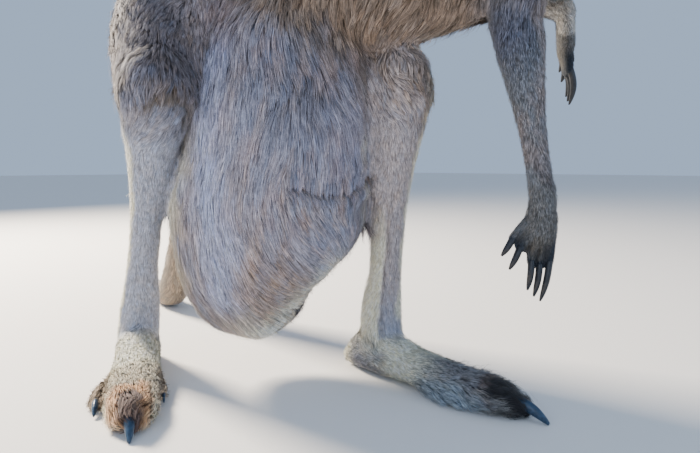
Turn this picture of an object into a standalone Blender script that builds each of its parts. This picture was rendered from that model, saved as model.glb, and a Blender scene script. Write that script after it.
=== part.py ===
"""Red kangaroo, adult female with a full pouch, as a still, life-size museum model.

She stands on both hind feet, with the right leg back and turned out, the left leg forward, the
trunk leaning forward and bending to her left, and the tail resting on the floor.

Metres, +Z up. She faces -Y, and her left is +X. The floor is Z = 0. Every section below describes
flesh and coat together, so each surface is the outline of the fur. The body is modelled whole,
fused into one skin, and then parted into named pieces by cuts of CUT.
"""

import math

import bmesh
import bpy
import numpy as np
from mathutils import Matrix, Vector

# ---------------------------------------------------------------- driving dimensions, metres
CUT = 0.0003
BODY_VOXEL = 0.004
BODY_TRIANGLES = 2500
DETAIL_TRIANGLES = 4600
BODY_SMOOTHING = 6
SOLE_DEPTH = 0.003

EAR_LENGTH = 0.130
EAR_WIDTH = 0.064
EAR_THICKNESS = 0.004
EYE_RADIUS = 0.0115
HAND_LENGTH = 0.100

# Joints and landmarks of the pose.
PELVIS_YAW = math.radians(22)
HEAD_PITCH = math.radians(-16)
FOOT_HEADING = {"right": math.radians(27.7), "left": math.radians(-1)}
JOINT = {
    "hip_right": (-0.055, 0.128, 0.575),
    "hip_left": (0.055, 0.083, 0.575),
    "knee_right": (-0.204, 0.026, 0.425),
    "knee_left": (0.065, -0.186, 0.435),
    "ankle_right": (-0.167, 0.180, 0.060),
    "ankle_left": (0.095, -0.131, 0.060),
    "heel_right": (-0.141, 0.230, 0.0),
    "heel_left": (0.089, -0.060, 0.0),
    "shoulder_right": (0.088, -0.403, 0.670),
    "shoulder_left": (0.222, -0.350, 0.680),
    "elbow_right": (0.083, -0.355, 0.510),
    "elbow_left": (0.247, -0.200, 0.612),
    "wrist_right": (0.090, -0.395, 0.293),
    "wrist_left": (0.254, -0.338, 0.550),
    "skull": (0.183, -0.505, 0.925),
}
HAND_DOWN = {"right": (-0.02, -0.03, -1.0), "left": (0.01, -0.08, -1.0)}
HAND_DORSAL = {"right": (-0.70, -0.72, 0.0), "left": (0.62, -0.78, 0.0)}

# Sections from the tip of the tail to the skull: centre x, y, z, then half width, height above
# and depth below the centre.
SPINE = (
    (0.140, 0.765, 0.012, 0.013, 0.012, 0.014),
    (0.108, 0.680, 0.021, 0.023, 0.022, 0.023),
    (0.080, 0.580, 0.028, 0.031, 0.030, 0.030),
    (0.063, 0.492, 0.050, 0.038, 0.038, 0.042),
    (0.057, 0.415, 0.150, 0.045, 0.046, 0.047),
    (0.053, 0.345, 0.295, 0.055, 0.056, 0.058),
    (0.049, 0.280, 0.425, 0.068, 0.066, 0.070),
    (0.042, 0.215, 0.540, 0.090, 0.086, 0.090),
    (0.028, 0.140, 0.610, 0.114, 0.122, 0.120),
    (0.014, 0.050, 0.640, 0.122, 0.158, 0.155),
    (0.028, -0.050, 0.648, 0.126, 0.170, 0.163),
    (0.062, -0.155, 0.650, 0.122, 0.158, 0.166),
    (0.098, -0.250, 0.658, 0.110, 0.130, 0.152),
    (0.128, -0.333, 0.668, 0.098, 0.102, 0.142),
    (0.152, -0.405, 0.700, 0.082, 0.080, 0.118),
    (0.168, -0.455, 0.772, 0.068, 0.062, 0.074),
    (0.176, -0.485, 0.850, 0.054, 0.050, 0.056),
    (0.182, -0.515, 0.915, 0.045, 0.042, 0.046),
)
# Sections of the pouch from the belly down: half width across, and radii away from and towards
# the front of the right side.
POUCH = (
    (0.005, -0.030, 0.560, 0.105, 0.110, 0.110),
    (-0.012, -0.037, 0.460, 0.132, 0.120, 0.125),
    (-0.024, -0.024, 0.350, 0.145, 0.118, 0.125),
    (-0.042, -0.006, 0.250, 0.152, 0.108, 0.120),
    (-0.056, 0.010, 0.160, 0.122, 0.090, 0.100),
    (-0.055, 0.010, 0.100, 0.086, 0.062, 0.070),
)
POUCH_TOP = 0.470

# Limb sections: share of the bone's length, then offsets outward and to the front of the bone,
# half width, and radii to the front and to the back.
THIGH = (
    (-0.30, 0.000, 0.030, 0.055, 0.075, 0.075),
    (-0.10, 0.014, 0.012, 0.084, 0.112, 0.105),
    (0.18, 0.026, 0.000, 0.094, 0.124, 0.122),
    (0.50, 0.026, 0.000, 0.082, 0.100, 0.105),
    (0.80, 0.014, 0.000, 0.062, 0.068, 0.076),
    (1.03, 0.002, 0.000, 0.047, 0.046, 0.056),
)
SHANK = (
    (-0.08, 0.000, 0.000, 0.044, 0.046, 0.052),
    (0.08, 0.000, 0.000, 0.043, 0.044, 0.070),
    (0.25, -0.002, 0.000, 0.034, 0.034, 0.056),
    (0.45, -0.001, 0.000, 0.0255, 0.024, 0.042),
    (0.70, 0.000, 0.000, 0.0255, 0.020, 0.040),
    (0.88, 0.000, 0.000, 0.0320, 0.023, 0.047),
    (1.03, 0.000, 0.000, 0.0350, 0.032, 0.044),
)
UPPER_ARM = (
    (-0.15, 0.000, 0.000, 0.048, 0.050, 0.052),
    (0.30, 0.000, 0.000, 0.044, 0.044, 0.050),
    (0.75, 0.000, 0.000, 0.038, 0.036, 0.042),
    (1.05, 0.000, 0.000, 0.034, 0.032, 0.036),
)
FOREARM = (
    (-0.08, 0.000, 0.000, 0.034, 0.034, 0.034),
    (0.12, 0.000, 0.000, 0.034, 0.035, 0.034),
    (0.35, 0.000, 0.000, 0.027, 0.028, 0.027),
    (0.60, 0.000, 0.000, 0.0200, 0.021, 0.020),
    (0.85, 0.000, 0.000, 0.0180, 0.017, 0.017),
    (1.03, 0.000, 0.000, 0.0190, 0.015, 0.016),
)

# Foot sections: distance from the heel, offset outward, height of the centre, half width, and
# radii above and below the centre.
FOOT_BODY = (
    (0.010, 0.000, 0.020, 0.022, 0.018, 0.022),
    (0.040, 0.000, 0.032, 0.033, 0.035, 0.034),
    (0.085, 0.000, 0.036, 0.035, 0.040, 0.038),
    (0.130, 0.000, 0.030, 0.034, 0.030, 0.032),
    (0.180, 0.000, 0.025, 0.037, 0.026, 0.027),
    (0.222, 0.000, 0.022, 0.036, 0.023, 0.024),
)
TOES = {
    "fourth": (
        (0.195, 0.000, 0.023, 0.029, 0.023, 0.025),
        (0.248, 0.000, 0.022, 0.035, 0.021, 0.024),
        (0.286, 0.000, 0.019, 0.032, 0.018, 0.021),
        (0.308, 0.000, 0.015, 0.023, 0.012, 0.017),
    ),
    "fifth": (
        (0.170, 0.026, 0.015, 0.014, 0.015, 0.017),
        (0.212, 0.042, 0.013, 0.014, 0.014, 0.015),
        (0.236, 0.047, 0.011, 0.012, 0.011, 0.013),
    ),
    "joined": (
        (0.165, -0.022, 0.014, 0.012, 0.014, 0.016),
        (0.208, -0.031, 0.012, 0.012, 0.012, 0.014),
        (0.230, -0.034, 0.011, 0.010, 0.010, 0.013),
    ),
}
# Claws of the foot: distance from the heel, offset outward, height, length, drop and radius.
FOOT_CLAWS = {
    "second": (0.232, -0.0395, 0.0110, 0.017, 0.006, 0.0026),
    "third": (0.235, -0.0305, 0.0120, 0.017, 0.006, 0.0026),
    "fourth": (0.298, 0.0000, 0.0170, 0.054, 0.0148, 0.0085),
    "fifth": (0.236, 0.0480, 0.0120, 0.030, 0.008, 0.0048),
}

# Palm sections, as for a limb, and each digit's knuckle, end and claw tip, as distances across
# and down from the wrist.
PALM = (
    (-0.10, 0.000, 0.000, 0.0185, 0.0150, 0.0155),
    (0.20, 0.000, 0.000, 0.0205, 0.0140, 0.0150),
    (0.48, 0.003, 0.000, 0.0235, 0.0135, 0.0150),
    (0.62, 0.006, 0.000, 0.0200, 0.0110, 0.0125),
)
DIGITS = {
    "first": ((-0.011, 0.040), (-0.009, 0.086), (0.001, 0.132)),
    "second": ((-0.003, 0.045), (0.003, 0.089), (0.009, 0.126)),
    "third": ((0.006, 0.045), (0.013, 0.084), (0.017, 0.118)),
    "fourth": ((0.013, 0.040), (0.028, 0.066), (0.040, 0.092)),
    "fifth": ((0.018, 0.034), (0.037, 0.054), (0.050, 0.075)),
}
DIGIT_RADIUS = 0.0084
HAND_CLAW_RADIUS = 0.0034

# Head sections along its own axis: distance from the back of the skull, height of the centre,
# half width, height above and depth below the centre.
HEAD = (
    (0.000, -0.002, 0.040, 0.040, 0.048),
    (0.030, 0.002, 0.046, 0.046, 0.056),
    (0.060, 0.003, 0.048, 0.048, 0.060),
    (0.088, 0.000, 0.046, 0.045, 0.056),
    (0.112, -0.004, 0.039, 0.038, 0.048),
    (0.138, -0.009, 0.032, 0.031, 0.040),
    (0.165, -0.013, 0.0285, 0.026, 0.033),
    (0.186, -0.015, 0.0255, 0.021, 0.027),
)
EYE_PLACE = (0.096, 0.0375, 0.014)
NOSE_PLACE = (0.196, 0.0, -0.008)
NOSE_RADII = (0.0140, 0.0080, 0.0100)
EAR_PLACE = (0.028, 0.024, 0.034)

# ---------------------------------------------------------------- scene and materials
for item in list(bpy.data.objects):
    bpy.data.objects.remove(item, do_unlink=True)

MODEL = bpy.data.collections.new("red_kangaroo")
CUTTERS = bpy.data.collections.new("cutters")
for collection in (MODEL, CUTTERS):
    bpy.context.scene.collection.children.link(collection)


def material(name, color, roughness):
    """A plain Principled material."""
    result = bpy.data.materials.new(name)
    result.use_nodes = True
    shader = result.node_tree.nodes["Principled BSDF"]
    shader.inputs["Base Color"].default_value = (*color, 1)
    shader.inputs["Roughness"].default_value = roughness
    return result


MATERIALS = {
    "fur_fawn": material("fur_fawn", (0.42, 0.31, 0.22), 0.95),
    "fur_grey": material("fur_grey", (0.34, 0.31, 0.28), 0.95),
    "fur_white": material("fur_white", (0.80, 0.77, 0.72), 0.95),
    "fur_cream": material("fur_cream", (0.62, 0.55, 0.46), 0.95),
    "eye": material("eye", (0.02, 0.012, 0.008), 0.05),
    "claw": material("claw", (0.05, 0.055, 0.07), 0.45),
    "nose": material("nose", (0.06, 0.05, 0.05), 0.5),
}


# ---------------------------------------------------------------- shaping tools
def add_object(name, mesh, collection=MODEL):
    """A new object for mesh, in collection."""
    result = bpy.data.objects.new(name, mesh)
    collection.objects.link(result)
    if collection is CUTTERS:
        result.hide_render = True
        result.display_type = "WIRE"
    return result


def mesh_object(name, verts, faces, collection=CUTTERS):
    """An object from vertices and faces, with its faces turned outward."""
    mesh = bpy.data.meshes.new(name)
    mesh.from_pydata([tuple(v) for v in verts], [], faces)
    work = bmesh.new()
    work.from_mesh(mesh)
    bmesh.ops.recalc_face_normals(work, faces=work.faces)
    work.to_mesh(mesh)
    work.free()
    return add_object(name, mesh, collection)


def unit(vector):
    """The vector at length 1."""
    vector = np.asarray(vector, dtype=float)
    return vector / np.linalg.norm(vector)


def through(rows, steps):
    """A Catmull-Rom curve through rows, with steps samples from each row to the next."""
    rows = np.array(rows, dtype=float)
    row = np.vstack([2 * rows[0] - rows[1], rows, 2 * rows[-1] - rows[-2]])
    samples = []
    for first in range(len(rows) - 1):
        before, start, end, after = row[first : first + 4]
        for t in np.arange(steps) / steps:
            cubic = 3 * start - before - 3 * end + after
            square = 2 * before - 5 * start + 4 * end - after
            samples.append(start + 0.5 * ((end - before) * t + square * t**2 + cubic * t**3))
    samples.append(rows[-1])
    return np.array(samples)


def loft(name, rows, upward, steps=4, sides=20, blunt=0.75, caps=4, collection=CUTTERS):
    """A closed body through sections of (x, y, z, half width, radius up, radius down).

    upward says which way "up" is for the sections. blunt is how far each rounded end reaches past
    its last section, in radii, and caps how many steps it takes.
    """
    rows = through(rows, steps)
    centre = rows[:, :3]
    tangent = np.gradient(centre, axis=0)
    tangent /= np.linalg.norm(tangent, axis=1)[:, None]
    rings = []
    for place in range(len(rows)):
        rings.append((centre[place], tangent[place], rows[place, 3:], 1.0))
    for end, sign in ((0, -1), (-1, 1)):
        reach = blunt * rows[end, 3:].mean()
        cap = []
        for number in range(1, caps):
            angle = 0.5 * math.pi * number / caps
            spot = centre[end] + sign * reach * math.sin(angle) * tangent[end]
            cap.append((spot, tangent[end], rows[end, 3:], math.cos(angle)))
        rings = cap[::-1] + rings if sign < 0 else rings + cap
    verts = []
    turn = 2 * math.pi * np.arange(sides) / sides
    for spot, along, (half, above, below), scale in rings:
        side = unit(np.cross(along, upward))
        rise = unit(np.cross(side, along))
        height = np.where(np.sin(turn) > 0, above, below)
        ring = spot + scale * (
            np.outer(half * np.cos(turn), side) + np.outer(height * np.sin(turn), rise)
        )
        verts.extend(ring)
    faces = []
    for ring in range(len(rings) - 1):
        for k in range(sides):
            n = (k + 1) % sides
            low, high = ring * sides, (ring + 1) * sides
            faces.append((low + k, low + n, high + n))
            faces.append((low + k, high + n, high + k))
    for end, sign in ((0, -1), (-1, 1)):
        reach = blunt * rows[end, 3:].mean()
        verts.append(centre[end] + sign * reach * tangent[end])
        base = 0 if sign < 0 else (len(rings) - 1) * sides
        for k in range(sides):
            faces.append((len(verts) - 1, base + k, base + (k + 1) % sides))
    return mesh_object(name, verts, faces, collection)


def limb(name, start, end, rows, front, outward, **options):
    """A loft along the bone from start to end, with rows like THIGH."""
    start, end = np.array(start), np.array(end)
    bone = end - start
    along = unit(bone)
    front = unit(front - np.dot(front, along) * along)
    outward = unit(outward - np.dot(outward, along) * along)
    sections = []
    for share, out, ahead, half, fore, aft in rows:
        spot = start + share * bone + out * outward + ahead * front
        sections.append((*spot, half, fore, aft))
    return loft(name, sections, front, **options)


def ellipsoid(name, centre, radii, turn=None, segments=24, rings=16):
    """A UV sphere stretched to radii along the columns of turn."""
    work = bmesh.new()
    bmesh.ops.create_uvsphere(work, u_segments=segments, v_segments=rings, radius=1)
    turn = turn or Matrix.Identity(3)
    place = Matrix.Translation(centre) @ (turn @ Matrix.Diagonal(radii)).to_4x4()
    bmesh.ops.transform(work, matrix=place, verts=work.verts)
    mesh = bpy.data.meshes.new(name)
    work.to_mesh(mesh)
    work.free()
    return add_object(name, mesh, CUTTERS)


def bake(target):
    """Apply every modifier of target by replacing its mesh with the evaluated one."""
    graph = bpy.context.evaluated_depsgraph_get()
    mesh = bpy.data.meshes.new_from_object(target.evaluated_get(graph))
    target.modifiers.clear()
    target.data = mesh
    return target


def thin_out(body, triangles, kept=""):
    """Reduce body to about so many triangles, away from the vertex group kept."""
    count = sum(len(face.vertices) - 2 for face in body.data.polygons)
    decimate = body.modifiers.new("thin out", "DECIMATE")
    decimate.ratio = triangles / count
    decimate.vertex_group = kept
    decimate.invert_vertex_group = True
    bake(body)


def fuse(name, shapes, voxel, smoothing, triangles, detail):
    """One smooth closed skin around all shapes, in about so many triangles.

    detail holds the (centre, radius) of each place that keeps finer triangles.
    """
    work = bmesh.new()
    for shape in shapes:
        work.from_mesh(shape.data)
        bpy.data.objects.remove(shape, do_unlink=True)
    mesh = bpy.data.meshes.new(name)
    work.to_mesh(mesh)
    work.free()
    body = add_object(name, mesh)
    remesh = body.modifiers.new("fuse", "REMESH")
    remesh.mode = "VOXEL"
    remesh.voxel_size = voxel
    smooth = body.modifiers.new("soften", "SMOOTH")
    smooth.factor = 0.5
    smooth.iterations = smoothing
    bake(body)
    thin_out(body, DETAIL_TRIANGLES)
    spots = np.array([vert.co for vert in body.data.vertices])
    near = np.zeros(len(spots), dtype=bool)
    for centre, radius in detail:
        near |= np.linalg.norm(spots - centre, axis=1) < radius
    fine = body.vertex_groups.new(name="fine")
    fine.add(np.flatnonzero(near).tolist(), 1.0, "REPLACE")
    thin_out(body, triangles, fine.name)
    body.vertex_groups.clear()
    return body


def cut_away(target, cutter):
    """Subtract cutter from target."""
    boolean = target.modifiers.new("cut", "BOOLEAN")
    boolean.operation = "DIFFERENCE"
    boolean.solver = "EXACT"
    boolean.object = cutter
    bake(target)
    return target


def largest_piece(target):
    """Keep only the largest connected piece of target."""
    pieces = loose_pieces(target)
    best = max(pieces, key=lambda piece: len(piece.data.vertices))
    for piece in pieces:
        if piece is not best:
            bpy.data.objects.remove(piece, do_unlink=True)
    return best


def loose_pieces(target):
    """Split target into its connected pieces, as new objects; target goes."""
    work = bmesh.new()
    work.from_mesh(target.data)
    work.verts.ensure_lookup_table()
    label = [-1] * len(work.verts)
    count = 0
    for seed in work.verts:
        if label[seed.index] >= 0:
            continue
        stack = [seed]
        label[seed.index] = count
        while stack:
            for edge in stack.pop().link_edges:
                for vert in edge.verts:
                    if label[vert.index] < 0:
                        label[vert.index] = count
                        stack.append(vert)
        count += 1
    work.free()
    pieces = []
    for number in range(count):
        part = bmesh.new()
        part.from_mesh(target.data)
        part.verts.ensure_lookup_table()
        other = [vert for vert in part.verts if label[vert.index] != number]
        bmesh.ops.delete(part, geom=other, context="VERTS")
        mesh = bpy.data.meshes.new("piece")
        part.to_mesh(mesh)
        part.free()
        pieces.append(add_object("piece", mesh))
    bpy.data.objects.remove(target, do_unlink=True)
    return pieces


def take(body, name, sleeve):
    """Part what lies inside the sleeve off body, as the piece called name."""
    inside = add_object(name, body.data.copy())
    boolean = inside.modifiers.new("keep", "BOOLEAN")
    boolean.operation = "INTERSECT"
    boolean.solver = "EXACT"
    boolean.object = sleeve(0)
    bake(inside)
    cut_away(body, sleeve(CUT))
    piece = largest_piece(inside)
    piece.name = name
    return piece


def middle(piece):
    """The average of the vertices of piece."""
    return np.mean([vert.co for vert in piece.data.vertices], axis=0)


def distance_to(piece, spot):
    """How far the nearest vertex of piece is from spot."""
    return min((vert.co - Vector(spot)).length for vert in piece.data.vertices)


def disc(centre, axis, radius):
    """A cutter as thick as the cut, square to axis."""
    work = bmesh.new()
    bmesh.ops.create_cone(
        work, cap_ends=True, segments=16, radius1=radius, radius2=radius, depth=CUT
    )
    turn = Vector((0, 0, 1)).rotation_difference(Vector(axis)).to_matrix().to_4x4()
    bmesh.ops.transform(work, matrix=Matrix.Translation(centre) @ turn, verts=work.verts)
    mesh = bpy.data.meshes.new("disc")
    work.to_mesh(mesh)
    work.free()
    return add_object("disc", mesh, CUTTERS)


def mix(start, end, share):
    """The point at share of the way from start to end."""
    return (1 - share) * np.array(start) + share * np.array(end)


# ---------------------------------------------------------------- frames of the limbs
SIDES = {"right": -1, "left": 1}
UP = np.array((0.0, 0.0, 1.0))
PELVIS_FORWARD = np.array((-math.sin(PELVIS_YAW), -math.cos(PELVIS_YAW), 0.0))


def pelvis_out(side):
    """Outward from the pelvis on the given side."""
    return SIDES[side] * np.array((math.cos(PELVIS_YAW), -math.sin(PELVIS_YAW), 0.0))


def foot_point(side, ahead, out, height):
    """A point of a foot, from its heel on the floor."""
    heading = FOOT_HEADING[side]
    forward = np.array((-math.sin(heading), -math.cos(heading), 0.0))
    outward = SIDES[side] * np.array((math.cos(heading), -math.sin(heading), 0.0))
    return np.array(JOINT[f"heel_{side}"]) + ahead * forward + out * outward + height * UP


def hand_axes(side):
    """The outward, down and dorsal directions of a hanging hand."""
    down = unit(HAND_DOWN[side])
    across = SIDES[side] * unit(np.cross(HAND_DORSAL[side], down))
    return across, down, SIDES[side] * unit(np.cross(down, across))


def hand_point(side, across, along, lift=0.0):
    """A point of a hand: across it, down it and lifted off its back."""
    axes = hand_axes(side)
    offset = sum(amount * axis for amount, axis in zip((across, along, lift), axes))
    return np.array(JOINT[f"wrist_{side}"]) + offset


def head_point(ahead, out, height):
    """A point given along the head's own axes."""
    turn = Matrix.Rotation(-HEAD_PITCH, 3, "X")
    return np.array(JOINT["skull"]) + np.array(turn @ Vector((out, -ahead, height)))


# ---------------------------------------------------------------- flesh
THIGH_FRONT = PELVIS_FORWARD + UP
SPINE_DORSAL = np.array((0.0, 1.0, 1.0))
POUCH_AWAY = np.array((1.0, 1.0, 0.0))
ARM_FORWARD = np.array((0.0, -1.0, 0.0))
ARM_OUT = {side: sign * np.array((1.0, 0.0, 0.0)) for side, sign in SIDES.items()}


def leg(side):
    """Thigh, shank and foot of one side, as overlapping bodies."""
    hip, knee, ankle = (JOINT[f"{name}_{side}"] for name in ("hip", "knee", "ankle"))
    forward = foot_point(side, 1, 0, 0) - foot_point(side, 0, 0, 0)
    outward = foot_point(side, 0, 1, 0) - foot_point(side, 0, 0, 0)
    shapes = [
        limb("thigh", hip, knee, THIGH, THIGH_FRONT, pelvis_out(side)),
        limb("shank", knee, ankle, SHANK, forward, outward),
    ]
    for rows in (FOOT_BODY, *TOES.values()):
        sections = []
        for ahead, out, height, half, above, below in rows:
            spot = foot_point(side, ahead, out, height - SOLE_DEPTH)
            sections.append((*spot, half, above, below))
        shapes.append(loft("foot", sections, UP))
    return shapes


def arm(side):
    """Upper arm, forearm, palm and digits of one side."""
    shoulder, elbow, wrist = (JOINT[f"{name}_{side}"] for name in ("shoulder", "elbow", "wrist"))
    across, down, dorsal = hand_axes(side)
    palm_end = hand_point(side, 0, HAND_LENGTH)
    shapes = [
        limb("upper_arm", shoulder, elbow, UPPER_ARM, ARM_FORWARD, ARM_OUT[side]),
        limb("forearm", elbow, wrist, FOREARM, dorsal, across),
        limb("palm", wrist, palm_end, PALM, dorsal, across),
    ]
    for knuckle, end, _ in DIGITS.values():
        sections = []
        for share, size in ((0, 1.05), (0.5, 1.0), (1, 0.85)):
            radius = size * DIGIT_RADIUS
            sections.append((*hand_point(side, *mix(knuckle, end, share)), *[radius] * 3))
        shapes.append(loft("digit", sections, dorsal, sides=12))
    return shapes


def skull():
    """The head without its ears."""
    sections = []
    for ahead, height, half, above, below in HEAD:
        sections.append((*head_point(ahead, 0, height), half, above, below))
    return loft("skull", sections, UP, blunt=0.55)


def flesh():
    """All of the body but ears, eyes and claws, in one skin with flats on the floor."""
    spine = [(x, y, z - SOLE_DEPTH * (z < 0.1), *radii) for x, y, z, *radii in SPINE]
    shapes = [
        loft("spine", spine, SPINE_DORSAL, sides=28),
        loft("pouch", POUCH, POUCH_AWAY, sides=28, blunt=0.5),
        skull(),
    ]
    for side in SIDES:
        shapes += leg(side) + arm(side)
    detail = [(head_point(0.13, 0, 0), 0.09)]
    for side in SIDES:
        detail.append((hand_point(side, 0, 0.065), 0.06))
        detail.append((foot_point(side, 0.25, 0, 0), 0.09))
    body = fuse("body", shapes, BODY_VOXEL, BODY_SMOOTHING, BODY_TRIANGLES, detail)
    work = bmesh.new()
    bmesh.ops.create_cube(work, size=1)
    place = Matrix.Translation((0, 0, -0.5)) @ Matrix.Diagonal((3, 3, 1, 1))
    bmesh.ops.transform(work, matrix=place, verts=work.verts)
    mesh = bpy.data.meshes.new("floor")
    work.to_mesh(mesh)
    work.free()
    return cut_away(body, add_object("floor", mesh, CUTTERS))


# ---------------------------------------------------------------- parting the flesh
THIGH_MARGIN = 0.026
ARM_MARGIN = 0.020
POUCH_MARGIN = 0.020
ANKLE_CUT = 0.085
KNEE_END = 1.18
ELBOW_END = 1.25
SLEEVE = {"steps": 1, "sides": 14, "blunt": 0, "caps": 1}


def grown(rows, margin):
    """Limb or loft rows with margin added to each radius."""
    return [(*row[:3], *(radius + margin for radius in row[3:])) for row in rows]


def limb_sleeve(start, end, rows, front, outward, margin, last):
    """A maker of flat-ended sleeves around a limb, up to share last of its bone."""
    length = np.linalg.norm(np.array(end) - np.array(start))

    def build(grow):
        kept = [row for row in grown(rows, margin + grow) if row[0] < last]
        kept[0] = (kept[0][0] - (margin + grow) / length, *kept[0][1:])
        kept.append((last + grow / length, *kept[-1][1:]))
        return limb("sleeve", start, end, kept, front, outward, **SLEEVE)

    return build


def pouch_sleeve(grow):
    """A sleeve around the pouch, flat at the top, where it leaves the belly."""
    rows = grown(POUCH[1:], POUCH_MARGIN + grow)
    x, y, _, *radii = rows[0]
    rows[0] = (x, y, POUCH_TOP + grow, *radii)
    return loft("sleeve", rows, POUCH_AWAY, **{**SLEEVE, "blunt": 1.0, "caps": 3})


def cuts():
    """Flat cuts, from the ends inward: far piece, host, centre, direction and radius."""
    spine = [np.array(row[:3]) for row in SPINE]
    yield "tail_tip", "trunk", spine[2], spine[1] - spine[3], 0.07
    yield "tail_middle", "trunk", spine[4], spine[3] - spine[5], 0.09
    yield "tail_base", "trunk", mix(spine[6], spine[7], 0.6), spine[5] - spine[7], 0.15
    yield "head", "trunk", mix(spine[-2], spine[-1], 0.5), (0.0, -0.82, 0.57), 0.11
    yield "neck", "trunk", mix(spine[-5], spine[-4], 0.7), spine[-4] - spine[-5], 0.14
    for side in SIDES:
        knee, ankle, elbow, wrist = (
            np.array(JOINT[f"{name}_{side}"]) for name in ("knee", "ankle", "elbow", "wrist")
        )
        share = (knee[2] - ANKLE_CUT) / (knee[2] - ankle[2])
        yield f"foot_{side}", f"shank_{side}", mix(knee, ankle, share), -UP, 0.075
        direction = unit(wrist - elbow) + unit(HAND_DOWN[side])
        yield f"hand_{side}", f"forearm_{side}", wrist, direction, 0.036


def part_body(body):
    """Part the body into named pieces, in a dictionary."""
    named = {"pouch": take(body, "pouch", pouch_sleeve)}
    seeds = {"trunk": SPINE[9][:3]}
    for side in SIDES:
        hip, knee, ankle, shoulder, elbow, wrist = (
            JOINT[f"{name}_{side}"]
            for name in ("hip", "knee", "ankle", "shoulder", "elbow", "wrist")
        )
        bone = (hip, knee, THIGH, THIGH_FRONT, pelvis_out(side), THIGH_MARGIN)
        named[f"thigh_{side}"] = take(body, f"thigh_{side}", limb_sleeve(*bone, KNEE_END))
        bone = (shoulder, elbow, UPPER_ARM, ARM_FORWARD, ARM_OUT[side], ARM_MARGIN)
        named[f"upper_arm_{side}"] = take(body, f"upper_arm_{side}", limb_sleeve(*bone, ELBOW_END))
        seeds[f"shank_{side}"] = mix(knee, ankle, 0.6)
        seeds[f"forearm_{side}"] = mix(elbow, wrist, 0.6)
    pieces = loose_pieces(body)
    for name, spot in seeds.items():
        named[name] = min(pieces, key=lambda piece: distance_to(piece, spot))
    for name, host, centre, direction, radius in cuts():
        parts = loose_pieces(cut_away(named[host], disc(centre, direction, radius)))
        named[name] = max(parts, key=lambda piece: np.dot(middle(piece) - centre, direction))
        parts.remove(named[name])
        named[host] = max(parts, key=lambda piece: len(piece.data.vertices))
    return named


# ---------------------------------------------------------------- claws, ears, eyes and nose
def claw(name, root, tip, dorsal, radius, arch, grow=0.0):
    """A curved claw from inside the toe at root to its tip."""
    root, tip = np.array(root), np.array(tip)
    length = np.linalg.norm(tip - root)
    rows = []
    for share, size in ((0, 1.0), (0.35, 0.9), (0.7, 0.6), (1, 0.18)):
        spot = mix(root, tip, share) + arch * length * math.sin(math.pi * share) * dorsal
        rows.append((*spot, *[size * radius + grow] * 3))
    where = CUTTERS if grow else MODEL
    return loft(name, rows, dorsal, steps=1, sides=6, blunt=0.6, caps=1, collection=where)


def set_claws(named):
    """The claws of hands and feet, each in a socket cut into its hand or foot."""
    for side in SIDES:
        _, _, dorsal = hand_axes(side)
        for digit, (_, end, tip) in DIGITS.items():
            root = hand_point(side, *mix(end, tip, -0.12))
            shape = (root, hand_point(side, *tip), dorsal, HAND_CLAW_RADIUS, 0.08)
            named[f"hand_claw_{digit}_{side}"] = claw(f"hand_claw_{digit}_{side}", *shape)
            cut_away(named[f"hand_{side}"], claw("socket", *shape, grow=CUT))
        for toe, (ahead, out, height, length, drop, radius) in FOOT_CLAWS.items():
            root = foot_point(side, ahead - 0.15 * length, out, height)
            tip = foot_point(side, ahead + length, out, height - drop)
            shape = (root, tip, UP, radius, 0.10)
            named[f"foot_claw_{toe}_{side}"] = claw(f"foot_claw_{toe}_{side}", *shape)
            cut_away(named[f"foot_{side}"], claw("socket", *shape, grow=CUT))


def leaf(u):
    """Relative width of the ear at share u of its length."""
    return (u + 0.18) ** 0.6 * (1 - u**3) ** 0.5 / 0.76


def ear(side, head):
    """The ear: a leaf rolled along its length and open to the front and side."""
    sign = SIDES[side]
    centre = head_point(0, 0, 0)
    ahead, out, rise = (head_point(*row) - centre for row in np.eye(3))
    length = unit(0.93 * rise + 0.34 * sign * out - 0.16 * ahead)
    facing = unit(0.80 * ahead + 0.62 * sign * out)
    facing = unit(facing - np.dot(facing, length) * length)
    across = np.cross(length, facing)
    spot = head_point(EAR_PLACE[0], sign * EAR_PLACE[1], EAR_PLACE[2])
    verts, faces = [], []
    rows, columns = 7, 6
    for i in range(rows + 1):
        u = 0.985 * i / rows
        roll = math.radians(290 - 190 * u**0.7)
        radius = 0.5 * EAR_WIDTH * leaf(u) / max(math.sin(min(roll, math.pi) / 2), 0.5)
        radius = min(radius, 0.5 * EAR_WIDTH * leaf(u) * 1.25)
        for j in range(columns + 1):
            angle = roll * (j / columns - 0.5)
            ring = (1 - math.cos(angle)) * facing + math.sin(angle) * across
            bend = 0.012 * u**2 * facing
            verts.append(spot + EAR_LENGTH * u * length - bend + radius * (ring - facing))
    for i in range(rows):
        for j in range(columns):
            k = i * (columns + 1) + j
            faces.append((k, k + 1, k + columns + 2, k + columns + 1))
    result = mesh_object(f"ear_{side}", verts, faces, MODEL)
    solidify = result.modifiers.new("thickness", "SOLIDIFY")
    solidify.thickness = EAR_THICKNESS
    solidify.offset = 0
    bake(result)
    shell = add_object("head_grown", head.data.copy(), CUTTERS)
    displace = shell.modifiers.new("grow", "DISPLACE")
    displace.strength = CUT
    displace.mid_level = 0
    bake(shell)
    return largest_piece(cut_away(result, shell))


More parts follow.
